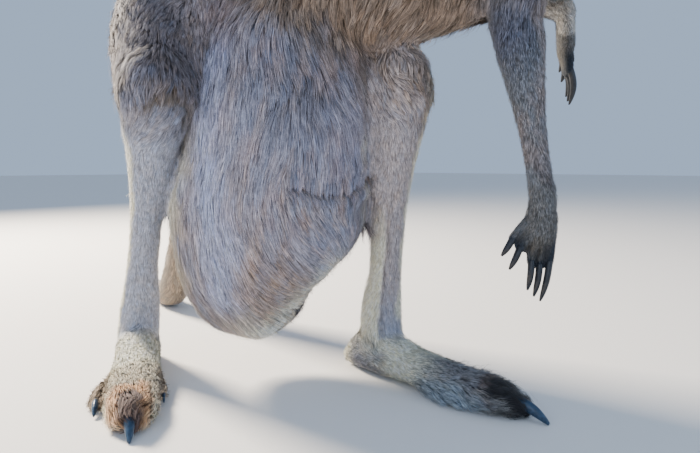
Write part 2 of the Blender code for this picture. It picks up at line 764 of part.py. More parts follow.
def set_face(named):
    """Eyes and nose in their sockets, and the ears on the head."""
    head = named["head"]
    turn = Matrix.Rotation(-HEAD_PITCH, 3, "X")
    nose = head_point(*NOSE_PLACE)
    out, ahead, rise = NOSE_RADII
    for side in SIDES:
        eye = head_point(EYE_PLACE[0], SIDES[side] * EYE_PLACE[1], EYE_PLACE[2])
        cut_away(head, ellipsoid("socket", eye, [EYE_RADIUS + CUT] * 3, segments=12, rings=8))
        ball = ellipsoid(f"eye_{side}", eye, [EYE_RADIUS] * 3, segments=12, rings=8)
        named[f"eye_{side}"] = ball
    cutter = ellipsoid("socket", nose, (out + CUT, ahead + CUT, rise + CUT), turn, 12, 8)
    cut_away(head, cutter)
    named["nose"] = ellipsoid("nose", nose, (out, ahead, rise), turn, 12, 8)
    for side in SIDES:
        named[f"ear_{side}"] = ear(side, head)


# ---------------------------------------------------------------- the finished model
COATS = {
    "fur_white": ("pouch", "shank"),
    "fur_cream": ("foot", "tail", "neck"),
    "fur_grey": ("thigh", "forearm", "hand", "ear"),
    "fur_fawn": ("trunk", "head", "upper_arm"),
    "eye": ("eye",),
    "nose": ("nose",),
    "claw": ("hand_claw", "foot_claw"),
}


def finish(named):
    """Name, colour and place the pieces, with the middle of the box's underside at the origin."""
    corners = np.array([vert.co for piece in named.values() for vert in piece.data.vertices])
    low, high = corners.min(axis=0), corners.max(axis=0)
    shift = Vector((-(low[0] + high[0]) / 2, -(low[1] + high[1]) / 2, -low[2]))
    stand = bpy.data.objects.new("red_kangaroo", None)
    MODEL.objects.link(stand)
    for name, piece in named.items():
        coat = max(
            ((prefix, slot) for slot, names in COATS.items() for prefix in names),
            key=lambda pair: len(pair[0]) if name.startswith(pair[0]) else -1,
        )[1]
        piece.data.materials.clear()
        piece.data.materials.append(MATERIALS[coat])
        place = Vector(middle(piece))
        piece.data.transform(Matrix.Translation(-place))
        piece.location = place + shift
        piece.parent = stand
        piece.name = name
        for collection in list(piece.users_collection):
            collection.objects.unlink(piece)
        MODEL.objects.link(piece)
        piece.hide_render = False
        piece.display_type = "TEXTURED"
        piece.data.shade_smooth()
        piece.data.set_sharp_from_angle(angle=math.radians(50))
    kept = set(named.values()) | {stand}
    for item in list(bpy.data.objects):
        if item not in kept:
            bpy.data.objects.remove(item, do_unlink=True)
    return shift


PIECES = part_body(flesh())
set_claws(PIECES)
set_face(PIECES)
SHIFT = finish(PIECES)
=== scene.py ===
"""Red kangaroo, adult female with a full pouch: the looks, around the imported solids.

One skin, a coat's depth inside the solids, replaces their flesh. Over it lies a coat of thin mesh
tufts, in a few pieces. Eyes, lids, nose, claws and whiskers are pieces of their own. Places are given
as in the solids' own drawing, in metres with +Z up, and drawn() moves them into the frame.
"""

import math

import bmesh
import bpy
import numpy as np
from mathutils import Matrix, Vector
from mathutils.kdtree import KDTree


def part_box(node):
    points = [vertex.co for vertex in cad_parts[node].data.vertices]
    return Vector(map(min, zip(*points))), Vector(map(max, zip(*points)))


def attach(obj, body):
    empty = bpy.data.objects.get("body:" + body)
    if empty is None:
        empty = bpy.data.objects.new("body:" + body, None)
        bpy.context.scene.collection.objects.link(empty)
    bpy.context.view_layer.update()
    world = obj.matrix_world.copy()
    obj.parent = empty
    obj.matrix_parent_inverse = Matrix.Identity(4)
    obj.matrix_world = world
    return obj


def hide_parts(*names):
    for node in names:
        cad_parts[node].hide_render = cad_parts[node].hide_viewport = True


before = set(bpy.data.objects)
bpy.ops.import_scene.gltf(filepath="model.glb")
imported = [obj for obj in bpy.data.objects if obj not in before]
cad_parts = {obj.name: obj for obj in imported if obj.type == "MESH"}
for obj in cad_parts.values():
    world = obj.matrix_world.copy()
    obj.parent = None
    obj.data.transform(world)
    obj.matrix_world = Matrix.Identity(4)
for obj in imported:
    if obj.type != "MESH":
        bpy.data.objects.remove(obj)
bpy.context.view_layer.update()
RANDOM = np.random.default_rng(5)

# ---------------------------------------------------------------- the pose, as in the solids
SKIN_VOXEL = 0.003
SKIN_SMOOTHING = 8
SKIN_TRIANGLES = 150000
SOLE_DEPTH = 0.003
SOLE_LIFT = 0.0008
HAND_LENGTH = 0.100
DIGIT_RADIUS = 0.0084
EYE_RADIUS = 0.0115
EAR_LENGTH = 0.130
EAR_WIDTH = 0.064
EAR_THICKNESS = 0.0032
EAR_ROWS = 60
EAR_COLUMNS = 40
CLAW_ARCH = 0.10
WHISKER_RADIUS = 0.00022
CAMERA_LENS = 29.98
CAMERA_PLACE = (-0.587, -0.736, 0.33)
CAMERA_TILT = -6
CAMERA_HEADING = -45

PELVIS_YAW = math.radians(22)
HEAD_PITCH = math.radians(-16)
FOOT_HEADING = {"right": math.radians(27.7), "left": math.radians(-1)}
JOINT = {
    "hip_right": (-0.055, 0.128, 0.575),
    "hip_left": (0.055, 0.083, 0.575),
    "knee_right": (-0.204, 0.026, 0.425),
    "knee_left": (0.065, -0.186, 0.435),
    "ankle_right": (-0.167, 0.180, 0.060),
    "ankle_left": (0.095, -0.131, 0.060),
    "heel_right": (-0.141, 0.230, 0.0),
    "heel_left": (0.089, -0.060, 0.0),
    "shoulder_right": (0.088, -0.403, 0.670),
    "shoulder_left": (0.222, -0.350, 0.680),
    "elbow_right": (0.083, -0.355, 0.510),
    "elbow_left": (0.247, -0.200, 0.612),
    "wrist_right": (0.090, -0.395, 0.293),
    "wrist_left": (0.254, -0.338, 0.550),
    "skull": (0.183, -0.505, 0.925),
}
HAND_DOWN = {"right": (-0.02, -0.03, -1.0), "left": (0.01, -0.08, -1.0)}
HAND_DORSAL = {"right": (-0.70, -0.72, 0.0), "left": (0.62, -0.78, 0.0)}

# Sections from the tip of the tail to the skull: centre x, y, z, then half width, height above
# and depth below the centre.
SPINE = (
    (0.140, 0.765, 0.012, 0.013, 0.012, 0.014),
    (0.108, 0.680, 0.021, 0.023, 0.022, 0.023),
    (0.080, 0.580, 0.028, 0.031, 0.030, 0.030),
    (0.063, 0.492, 0.050, 0.038, 0.038, 0.042),
    (0.057, 0.415, 0.150, 0.045, 0.046, 0.047),
    (0.053, 0.345, 0.295, 0.055, 0.056, 0.058),
    (0.049, 0.280, 0.425, 0.068, 0.066, 0.070),
    (0.042, 0.215, 0.540, 0.090, 0.086, 0.090),
    (0.028, 0.140, 0.610, 0.114, 0.122, 0.120),
    (0.014, 0.050, 0.640, 0.122, 0.158, 0.155),
    (0.028, -0.050, 0.648, 0.126, 0.170, 0.163),
    (0.062, -0.155, 0.650, 0.122, 0.158, 0.166),
    (0.098, -0.250, 0.658, 0.110, 0.130, 0.152),
    (0.128, -0.333, 0.668, 0.098, 0.102, 0.142),
    (0.152, -0.405, 0.700, 0.082, 0.080, 0.118),
    (0.168, -0.455, 0.772, 0.068, 0.062, 0.074),
    (0.176, -0.485, 0.850, 0.054, 0.050, 0.056),
    (0.182, -0.515, 0.915, 0.045, 0.042, 0.046),
)
TAIL_ROOT = 7.0
NECK_ROOT = 13.2
# Sections of the pouch from the belly down: half width across, and radii away from and towards
# the front of the right side.
POUCH = (
    (0.005, -0.030, 0.560, 0.105, 0.110, 0.110),
    (-0.012, -0.037, 0.460, 0.132, 0.120, 0.125),
    (-0.024, -0.024, 0.350, 0.145, 0.118, 0.125),
    (-0.042, -0.006, 0.250, 0.152, 0.108, 0.120),
    (-0.056, 0.010, 0.160, 0.122, 0.090, 0.100),
    (-0.055, 0.010, 0.100, 0.086, 0.062, 0.070),
)
# Limb sections: share of the bone's length, then offsets outward and to the front of the bone,
# half width, and radii to the front and to the back.
THIGH = (
    (-0.30, 0.000, 0.030, 0.055, 0.075, 0.075),
    (-0.10, 0.014, 0.012, 0.084, 0.112, 0.105),
    (0.18, 0.026, 0.000, 0.094, 0.124, 0.122),
    (0.50, 0.026, 0.000, 0.082, 0.100, 0.105),
    (0.80, 0.014, 0.000, 0.062, 0.068, 0.076),
    (1.03, 0.002, 0.000, 0.047, 0.046, 0.056),
)
SHANK = (
    (-0.08, 0.000, 0.000, 0.044, 0.046, 0.052),
    (0.08, 0.000, 0.000, 0.043, 0.044, 0.070),
    (0.25, -0.002, 0.000, 0.034, 0.034, 0.056),
    (0.45, -0.001, 0.000, 0.0255, 0.024, 0.042),
    (0.70, 0.000, 0.000, 0.0255, 0.020, 0.040),
    (0.88, 0.000, 0.000, 0.0320, 0.023, 0.047),
    (1.03, 0.000, 0.000, 0.0350, 0.032, 0.044),
)
UPPER_ARM = (
    (-0.15, 0.000, 0.000, 0.048, 0.050, 0.052),
    (0.30, 0.000, 0.000, 0.044, 0.044, 0.050),
    (0.75, 0.000, 0.000, 0.038, 0.036, 0.042),
    (1.05, 0.000, 0.000, 0.034, 0.032, 0.036),
)
FOREARM = (
    (-0.08, 0.000, 0.000, 0.034, 0.034, 0.034),
    (0.12, 0.000, 0.000, 0.034, 0.035, 0.034),
    (0.35, 0.000, 0.000, 0.027, 0.028, 0.027),
    (0.60, 0.000, 0.000, 0.0200, 0.021, 0.020),
    (0.85, 0.000, 0.000, 0.0180, 0.017, 0.017),
    (1.03, 0.000, 0.000, 0.0190, 0.015, 0.016),
)
# Foot sections: distance from the heel, offset outward, height of the centre, half width, and
# radii above and below the centre.
FOOT_BODY = (
    (0.010, 0.000, 0.020, 0.022, 0.018, 0.022),
    (0.040, 0.000, 0.032, 0.033, 0.035, 0.034),
    (0.085, 0.000, 0.036, 0.035, 0.040, 0.038),
    (0.130, 0.000, 0.030, 0.034, 0.030, 0.032),
    (0.180, 0.000, 0.025, 0.037, 0.026, 0.027),
    (0.222, 0.000, 0.022, 0.036, 0.023, 0.024),
)
TOES = {
    "fourth": (
        (0.195, 0.000, 0.023, 0.029, 0.023, 0.025),
        (0.248, 0.000, 0.022, 0.035, 0.021, 0.024),
        (0.286, 0.000, 0.019, 0.032, 0.018, 0.021),
        (0.308, 0.000, 0.015, 0.023, 0.012, 0.017),
    ),
    "fifth": (
        (0.170, 0.026, 0.015, 0.014, 0.015, 0.017),
        (0.212, 0.042, 0.013, 0.014, 0.014, 0.015),
        (0.236, 0.047, 0.011, 0.012, 0.011, 0.013),
    ),
    "joined": (
        (0.165, -0.022, 0.014, 0.012, 0.014, 0.016),
        (0.208, -0.031, 0.012, 0.012, 0.012, 0.014),
        (0.230, -0.034, 0.011, 0.010, 0.010, 0.013),
    ),
}
# Claws of the foot: distance from the heel, offset outward, height, length, drop and radius.
FOOT_CLAWS = {
    "second": (0.232, -0.0395, 0.0110, 0.017, 0.006, 0.0026),
    "third": (0.235, -0.0305, 0.0120, 0.017, 0.006, 0.0026),
    "fourth": (0.298, 0.0000, 0.0170, 0.054, 0.0148, 0.0085),
    "fifth": (0.236, 0.0480, 0.0120, 0.030, 0.008, 0.0048),
}
# Palm sections, as for a limb, and each digit's knuckle, end and claw tip, as distances across
# and down from the wrist.
PALM = (
    (-0.10, 0.000, 0.000, 0.0185, 0.0150, 0.0155),
    (0.20, 0.000, 0.000, 0.0205, 0.0140, 0.0150),
    (0.48, 0.003, 0.000, 0.0235, 0.0135, 0.0150),
    (0.62, 0.006, 0.000, 0.0200, 0.0110, 0.0125),
)
DIGITS = {
    "first": ((-0.011, 0.040), (-0.009, 0.086), (0.001, 0.132)),
    "second": ((-0.003, 0.045), (0.003, 0.089), (0.009, 0.126)),
    "third": ((0.006, 0.045), (0.013, 0.084), (0.017, 0.118)),
    "fourth": ((0.013, 0.040), (0.028, 0.066), (0.040, 0.092)),
    "fifth": ((0.018, 0.034), (0.037, 0.054), (0.050, 0.075)),
}
HAND_CLAW_RADIUS = 0.0034
# Head sections along its own axis: distance from the back of the skull, height of the centre,
# half width, height above and depth below the centre.
HEAD = (
    (0.000, -0.002, 0.040, 0.040, 0.048),
    (0.030, 0.002, 0.046, 0.046, 0.056),
    (0.060, 0.003, 0.048, 0.048, 0.060),
    (0.088, 0.000, 0.046, 0.045, 0.056),
    (0.112, -0.004, 0.039, 0.038, 0.048),
    (0.138, -0.009, 0.032, 0.031, 0.040),
    (0.165, -0.013, 0.0285, 0.026, 0.033),
    (0.186, -0.015, 0.0255, 0.021, 0.027),
)
EYE_PLACE = (0.096, 0.0375, 0.014)
NOSE_PLACE = (0.196, 0.0, -0.008)
EAR_PLACE = (0.028, 0.024, 0.034)

SIDES = {"right": -1, "left": 1}
UP = np.array((0.0, 0.0, 1.0))
PELVIS_FORWARD = np.array((-math.sin(PELVIS_YAW), -math.cos(PELVIS_YAW), 0.0))
THIGH_FRONT = PELVIS_FORWARD + UP
SPINE_DORSAL = np.array((0.0, 1.0, 1.0))
POUCH_AWAY = np.array((1.0, 1.0, 0.0))
ARM_FORWARD = np.array((0.0, -1.0, 0.0))


# ---------------------------------------------------------------- small tools
def unit(vectors):
    """The vectors, along the last axis, at length 1."""
    vectors = np.asarray(vectors, dtype=float)
    return vectors / np.maximum(np.linalg.norm(vectors, axis=-1, keepdims=True), 1e-12)


def dot(a, b):
    """Dot products along the last axis."""
    return (np.asarray(a) * np.asarray(b)).sum(axis=-1)


def square_to(vector, *axes):
    """The vector without its part along each of the axes, at length 1."""
    return unit(vector - sum(np.dot(vector, axis) * axis for axis in axes))


def mix(start, end, share):
    """The point at share of the way from start to end."""
    return (1 - share) * np.array(start) + share * np.array(end)


def smooth(value, low, high):
    """0 below low, 1 above high, and a smooth step between."""
    t = np.clip((value - low) / (high - low), 0, 1)
    return t * t * (3 - 2 * t)


def bell(value, width):
    """1 where value is 0, falling off smoothly over width."""
    return np.exp(-((value / width) ** 2))


def distance(points, centre):
    """How far each point is from centre."""
    return np.linalg.norm(points - centre, axis=1)


def swell(points, centre, radius):
    """1 at centre, falling off smoothly over radius."""
    return bell(distance(points, centre), radius)


def squares(points, line):
    """The square of the distance from each point to each point of a line."""
    return (points**2).sum(1)[:, None] + (line**2).sum(1) - 2 * points @ line.T


def ripple(points, size, seed):
    """Smooth noise, about -1 to 1, with waves of about size."""
    draw = np.random.default_rng(seed)
    total = 0
    for _ in range(7):
        wave = unit(draw.normal(size=3)) * 2 * math.pi / (size * draw.uniform(0.7, 1.6))
        total = total + np.sin(points @ wave + draw.uniform(0, 2 * math.pi))
    return total / 3.2


def through(rows, steps):
    """A Catmull-Rom curve through rows, with steps samples from each row to the next."""
    rows = np.array(rows, dtype=float)
    row = np.vstack([2 * rows[0] - rows[1], rows, 2 * rows[-1] - rows[-2]])
    samples = []
    for first in range(len(rows) - 1):
        before, start, end, after = row[first : first + 4]
        for t in np.arange(steps) / steps:
            cubic = 3 * start - before - 3 * end + after
            square = 2 * before - 5 * start + 4 * end - after
            samples.append(start + 0.5 * ((end - before) * t + square * t**2 + cubic * t**3))
    samples.append(rows[-1])
    return np.array(samples)


def to_line(points, line):
    """How far each point is from a line through points, and which way up it lies from it."""
    line = through(line, 8)[:, :3]
    square = squares(points, line)
    nearest = square.argmin(axis=1)
    return np.sqrt(np.maximum(square.min(axis=1), 0)), points[:, 2] - line[nearest, 2]


def pelvis_out(side):
    """Outward from the pelvis on the given side."""
    return SIDES[side] * np.array((math.cos(PELVIS_YAW), -math.sin(PELVIS_YAW), 0.0))


def foot_point(side, ahead, out, height):
    """A point of a foot, from its heel on the floor."""
    heading = FOOT_HEADING[side]
    forward = np.array((-math.sin(heading), -math.cos(heading), 0.0))
    outward = SIDES[side] * np.array((math.cos(heading), -math.sin(heading), 0.0))
    return np.array(JOINT[f"heel_{side}"]) + ahead * forward + out * outward + height * UP


def foot_axes(side):
    """A foot's heel, and its forward and outward directions."""
    heel = foot_point(side, 0, 0, 0)
    return heel, foot_point(side, 1, 0, 0) - heel, foot_point(side, 0, 1, 0) - heel


def hand_axes(side):
    """The outward, down and dorsal directions of a hanging hand."""
    down = unit(HAND_DOWN[side])
    across = SIDES[side] * unit(np.cross(HAND_DORSAL[side], down))
    return across, down, SIDES[side] * unit(np.cross(down, across))


def hand_point(side, across, along, lift=0.0):
    """A point of a hand: across it, down it and lifted off its back."""
    axes = hand_axes(side)
    offset = sum(amount * axis for amount, axis in zip((across, along, lift), axes))
    return np.array(JOINT[f"wrist_{side}"]) + offset


HEAD_TURN = np.array(Matrix.Rotation(-HEAD_PITCH, 3, "X"))


def head_point(ahead, out, height):
    """A point given along the head's own axes."""
    return np.array(JOINT["skull"]) + HEAD_TURN @ np.array((out, -ahead, height))


def head_way(ahead, out, height):
    """A direction given along the head's own axes."""
    return head_point(ahead, out, height) - head_point(0, 0, 0)


def head_axes(points):
    """Ahead, out and height of each point along the head's own axes."""
    local = (points - np.array(JOINT["skull"])) @ HEAD_TURN
    return -local[:, 1], local[:, 0], local[:, 2]


EYE = {side: head_point(EYE_PLACE[0], SIDES[side] * EYE_PLACE[1], EYE_PLACE[2]) for side in SIDES}
SHIFT = np.mean([np.array(corner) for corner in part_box("eye_left")], axis=0) - EYE["left"]


# ---------------------------------------------------------------- the rounded forms of the body
def limb(start, end, rows, front, outward):
    """The sections of a limb along its bone, and its front."""
    start, end = np.array(start), np.array(end)
    along = unit(end - start)
    front = square_to(front, along)
    outward = square_to(outward, along)
    sections = []
    for share, out, ahead, half, fore, aft in rows:
        spot = start + share * (end - start) + out * outward + ahead * front
        sections.append((*spot, half, fore, aft))
    return sections, front


def leg(side):
    """Thigh, shank, foot and toes of one side."""
    hip, knee, ankle = (JOINT[f"{name}_{side}"] for name in ("hip", "knee", "ankle"))
    _, forward, outward = foot_axes(side)
    forms = {
        f"thigh_{side}": limb(hip, knee, THIGH, THIGH_FRONT, pelvis_out(side)),
        f"shank_{side}": limb(knee, ankle, SHANK, forward, outward),
    }
    for name, rows in (("foot", FOOT_BODY), *TOES.items()):
        sections = []
        for ahead, out, height, *radii in rows:
            sections.append((*foot_point(side, ahead, out, height - SOLE_DEPTH), *radii))
        forms[f"{name}_{side}"] = (sections, UP)
    return forms


def arm(side):
    """Upper arm, forearm, palm and digits of one side."""
    shoulder, elbow, wrist = (JOINT[f"{name}_{side}"] for name in ("shoulder", "elbow", "wrist"))
    across, _, dorsal = hand_axes(side)
    outward = SIDES[side] * np.array((1.0, 0.0, 0.0))
    forms = {
        f"upper_arm_{side}": limb(shoulder, elbow, UPPER_ARM, ARM_FORWARD, outward),
        f"forearm_{side}": limb(elbow, wrist, FOREARM, dorsal, across),
        f"palm_{side}": limb(wrist, hand_point(side, 0, HAND_LENGTH), PALM, dorsal, across),
    }
    for name, (knuckle, end, _) in DIGITS.items():
        sections = []
        for share, size in ((0, 1.05), (0.5, 1.0), (1, 0.85)):
            sections.append((*hand_point(side, *mix(knuckle, end, share)), *[size * DIGIT_RADIUS] * 3))
        forms[f"digit_{name}_{side}"] = (sections, dorsal)
    return forms


def rounded_forms():
    """Every rounded form of the body, by name: its sections, and which way is up for them."""
    spine = [(x, y, z - SOLE_DEPTH * (z < 0.1), *radii) for x, y, z, *radii in SPINE]
    skull = [(*head_point(a, 0, h), half, above, below) for a, h, half, above, below in HEAD]
    forms = {"spine": (spine, SPINE_DORSAL), "pouch": (POUCH, POUCH_AWAY), "skull": (skull, UP)}
    for side in SIDES:
        forms |= leg(side) | arm(side)
    return forms


FORMS = rounded_forms()
BLUNT = {"pouch": 0.5, "skull": 0.55}


def frames(rows, upward):
    """Centre, tangent, side and rise of each section, and its radii."""
    centre = rows[:, :3]
    tangent = unit(np.gradient(centre, axis=0))
    side = unit(np.cross(tangent, upward))
    return centre, tangent, side, unit(np.cross(side, tangent)), rows[:, 3:]


def grid_faces(rows, columns, closed=True):
    """Quads between rows of points, each row a ring if closed."""
    faces = []
    for r in range(rows - 1):
        low, high = r * columns, (r + 1) * columns
        for c in range(columns if closed else columns - 1):
            n = (c + 1) % columns
            faces.append((low + c, low + n, high + n, high + c))
    return faces


def turned(rings, columns, point):
    """Points ring by ring: point(k, turn) for each ring k and each turn round it."""
    turns = [2 * math.pi * c / columns for c in range(columns)]
    return [point(k, turn) for k in range(rings) for turn in turns]


def loft(rows, upward, blunt, steps=6, sides=32, caps=6):
    """Vertices and faces of a closed body through sections like SPINE's, with rounded ends."""
    centre, tangent, side, rise, radii = frames(through(rows, steps), upward)
    ends = ((0, -1), (len(centre) - 1, 1))
    rings = [(centre[k], k, 1.0) for k in range(len(centre))]
    for end, sign in ends:
        reach = blunt * radii[end].mean()
        cap = []
        for number in range(1, caps):
            angle = 0.5 * math.pi * number / caps
            spot = centre[end] + sign * reach * math.sin(angle) * tangent[end]
            cap.append((spot, end, math.cos(angle)))
        rings = cap[::-1] + rings if sign < 0 else rings + cap
    verts = []
    turn = 2 * math.pi * np.arange(sides) / sides
    for spot, k, scale in rings:
        half, above, below = radii[k]
        height = np.where(np.sin(turn) > 0, above, below)
        ring = np.outer(half * np.cos(turn), side[k]) + np.outer(height * np.sin(turn), rise[k])
        verts.extend(spot + scale * ring)
    faces = grid_faces(len(rings), sides)
    for end, sign in ends:
        verts.append(centre[end] + sign * blunt * radii[end].mean() * tangent[end])
        base = 0 if sign < 0 else (len(rings) - 1) * sides
        for k in range(sides):
            faces.append((len(verts) - 1, base + k, base + (k + 1) % sides))
    return verts, faces


# ---------------------------------------------------------------- meshes
def merged(bodies):
    """The vertices and faces of many bodies, as one list of each."""
    verts, faces = [], []
    for more, sides in bodies:
        faces.extend(tuple(k + len(verts) for k in face) for face in sides)
        verts.extend(more)
    return verts, faces


def piece(name, mesh, look):
    """A piece of the model, in its material, riding on the one body."""
    result = bpy.data.objects.new(name, mesh)
    bpy.context.scene.collection.objects.link(result)
    mesh.materials.clear()
    mesh.materials.append(look)
    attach(result, "root")
    return result


def drawn(name, verts, faces, look, slot):
    """A piece from vertices and faces in the drawing's own place, moved into the frame."""
    mesh = bpy.data.meshes.new(name)
    mesh.from_pydata([tuple(v) for v in np.asarray(verts) + SHIFT], [], faces)
    work = bmesh.new()
    work.from_mesh(mesh)
    bmesh.ops.recalc_face_normals(work, faces=work.faces)
    work.to_mesh(mesh)
    work.free()
    mesh.shade_smooth()
    return piece(name, mesh, look)


def bake(target):
    """Apply every modifier of target by replacing its mesh with the evaluated one."""
    graph = bpy.context.evaluated_depsgraph_get()
    mesh = bpy.data.meshes.new_from_object(target.evaluated_get(graph))
    target.modifiers.clear()
    target.data = mesh


def positions(mesh):
    """A mesh's vertices as an array."""
    flat = np.empty(len(mesh.vertices) * 3)
    mesh.vertices.foreach_get("co", flat)
    return flat.reshape(-1, 3)


def triangles(mesh):
    """A triangle mesh's corners as an array."""
    flat = np.empty(len(mesh.polygons) * 3, dtype=np.int32)
    mesh.polygons.foreach_get("vertices", flat)
    return flat.reshape(-1, 3)


def vertex_normals(points, corners):
    """Normals averaged over the triangles round each vertex."""
    a, b, c = (points[corners[:, k]] for k in range(3))
    face = np.cross(b - a, c - a)
    total = np.zeros_like(points)
    for k in range(3):
        for axis in range(3):
            total[:, axis] += np.bincount(corners[:, k], face[:, axis], len(points))
    return unit(total)


def set_colour(mesh, values):
    """The attribute coat, a colour for each vertex."""
    layer = mesh.color_attributes.new("coat", "FLOAT_COLOR", "POINT")
    colour = np.hstack([values, np.ones((len(values), 1))])
    layer.data.foreach_set("color", colour.astype(np.float32).ravel())


# ---------------------------------------------------------------- where a point lies on the body
class Place:
    """For each of many points, the form it lies on and its place along and round that form."""

    # Samples between sections, points measured at once, and how far forms blend into each other.
    STEPS = 8
    BATCH = 40000
    REACH = 0.22

    def __init__(self, points):
        count = len(points)
        self.names = list(FORMS)
        self.near = np.full((len(FORMS), count), np.inf)
        self.along = np.zeros((len(FORMS), count))
        self.turn = np.zeros((len(FORMS), count))
        self.axis = np.zeros((len(FORMS), count, 3))
        for number, name in enumerate(self.names):
            for first in range(0, count, self.BATCH):
                self.measure(number, slice(first, first + self.BATCH), points, *FORMS[name])
        self.form = self.near.argmin(axis=0)
        share = bell(self.near - self.near.min(axis=0), self.REACH)
        self.share = share / share.sum(axis=0)

    def measure(self, number, part, points, rows, upward):
        """Place a batch of the points along one form."""
        centre, tangent, side, rise, radii = frames(through(rows, self.STEPS), upward)
        size = radii.mean(axis=1)
        some = points[part]
        k = squares(some, centre).argmin(axis=1)
        offset = some - centre[k]
        step = size[k] / self.STEPS
        offset = offset - np.clip(dot(offset, tangent[k]), -step, step)[:, None] * tangent[k]
        self.near[number, part] = np.linalg.norm(offset, axis=1) / size[k]
        self.along[number, part] = k / self.STEPS
        self.turn[number, part] = np.arctan2(dot(offset, rise[k]), dot(offset, side[k]))
        self.axis[number, part] = tangent[k]

    def weight(self, *starts):
        """How much each point belongs to the forms whose names begin with any of starts."""
        rows = [k for k, name in enumerate(self.names) if name.startswith(starts)]
        return self.share[rows].sum(axis=0)

    def of(self, name, what):
        """The along, turn or axis of one form."""
        return getattr(self, what)[self.names.index(name)]


# ---------------------------------------------------------------- looks
# The pale fur's colours, white, lavender and shin, are darker and bluer than the fur: its own blue-grey
# tone with painted blue shade over it.
WHITE_IN_SHADE = (0.345, 0.345, 0.425)
THROAT = (0.50, 0.475, 0.44)
HEAD_GREY = (0.20, 0.175, 0.155)
LAVENDER = (0.46, 0.50, 0.70)
SHIN = (0.42, 0.45, 0.55)
SHIN_WARM = (0.54, 0.46, 0.44)
BLOND = (0.62, 0.53, 0.40)
PINK = (0.50, 0.37, 0.36)
# Blue of the painted shade near the right elbow.
ARM_SHADE_BLUE = (0.085, 0.10, 0.155)
ARM_PINK = (0.34, 0.28, 0.265)
EAR_PALE = (0.56, 0.51, 0.45)
MILK = (0.70, 0.67, 0.62)
# Cream is brighter than the fur: cream fur with painted sunlight, for the sunlit tops of the feet and
# the lit rims.
CREAM = (0.97, 0.92, 0.70)
SAND = (0.40, 0.33, 0.25)
TAN = (0.37, 0.255, 0.165)
TAIL_FAWN = (0.27, 0.215, 0.165)
BROWN = (0.26, 0.185, 0.115)
FAWN = (0.245, 0.185, 0.145)
GREY_BROWN = (0.19, 0.17, 0.195)
BLUE_GREY = (0.165, 0.18, 0.23)
ARM_GREY = (0.20, 0.215, 0.24)
HAND_GREY = (0.165, 0.15, 0.13)
RUST = (0.62, 0.34, 0.16)
PLUM = (0.066, 0.048, 0.056)
# Olive: painted shade in creases and along the left shank.
SHADE_OLIVE = (0.135, 0.105, 0.065)
UMBER = (0.105, 0.072, 0.066)
DARK = (0.022, 0.022, 0.025)
DIGIT_GREY = (0.026, 0.036, 0.052)
THIGH_GREY = (0.145, 0.124, 0.132)
PALE_BLUE = (0.36, 0.42, 0.46)
EAR_PINK = (0.22, 0.15, 0.13)


def plain(name, colour, roughness, **more):
    """A Principled material and its shader; more gives other inputs, with _ for each space."""
    look = bpy.data.materials.new(name)
    look.use_nodes = True
    shader = look.node_tree.nodes["Principled BSDF"]
    shader.inputs["Base Color"].default_value = (*colour, 1)
    shader.inputs["Roughness"].default_value = roughness
    for key, value in more.items():
        shader.inputs[key.replace("_", " ")].default_value = value
    return look, shader


def node(look, kind, **settings):
    """A new node of look, with inputs set by name and other settings by attribute."""
    result = look.node_tree.nodes.new(kind)
    for key, value in settings.items():
        if key.replace("_", " ") in result.inputs:
            result.inputs[key.replace("_", " ")].default_value = value
        else:
            setattr(result, key, value)
    return result


def texture(look, kind, **settings):
    """A texture node in the object's own coordinates."""
    result = node(look, kind, **settings)
    spot = node(look, "ShaderNodeTexCoord")
    look.node_tree.links.new(spot.outputs["Object"], result.inputs["Vector"])
    return result


def grained(look, shader, noise, **span):
    """The attribute coat as base colour, made darker and lighter by the noise."""
    links = look.node_tree.links
    colour = node(look, "ShaderNodeAttribute", attribute_name="coat")
    shade = node(look, "ShaderNodeMapRange", **span)
    tint = node(look, "ShaderNodeVectorMath", operation="SCALE")
    links.new(noise.outputs["Fac"], shade.inputs["Value"])
    links.new(colour.outputs["Color"], tint.inputs[0])
    links.new(shade.outputs["Result"], tint.inputs["Scale"])
    links.new(tint.outputs["Vector"], shader.inputs["Base Color"])


def bumpy(look, shader, height, depth):
    """Bump of the given depth from a texture's output."""
    relief = node(look, "ShaderNodeBump", Distance=depth)
    look.node_tree.links.new(height, relief.inputs["Height"])
    look.node_tree.links.new(relief.outputs["Normal"], shader.inputs["Normal"])


def fur_look(name, grain, bump):
    """Fur in the colours of the attribute coat, with fine grain and bump."""
    look, shader = plain(
        name, WHITE_IN_SHADE, 0.75, Specular_IOR_Level=0.25,
        Sheen_Weight=0.28, Sheen_Roughness=0.45, Sheen_Tint=(1.0, 0.95, 0.88, 1),
    )
    noise = texture(look, "ShaderNodeTexNoise", Scale=grain, Detail=3.0)
    grained(look, shader, noise, From_Min=0.3, From_Max=0.7, To_Min=0.80, To_Max=1.15)
    if bump:
        bumpy(look, shader, noise.outputs["Fac"], bump)
    return look


SKIN_LOOK = fur_look("skin", 420.0, 0.0015)
COAT_LOOK = fur_look("coat", 160.0, 0.0)


# ---------------------------------------------------------------- the skin
def pouch_point(angle, height):
    """A point of the pouch's surface, by its angle from the camera's right and its height."""
    rows = through(POUCH, 8)
    x, y, _, half, _, toward = rows[np.abs(rows[:, 2] - height).argmin()]
    across = half * math.cos(angle) * unit((1, -1, 0))
    return np.array((x, y, height)) + across + toward * math.sin(angle) * unit((-1, -1, 0))


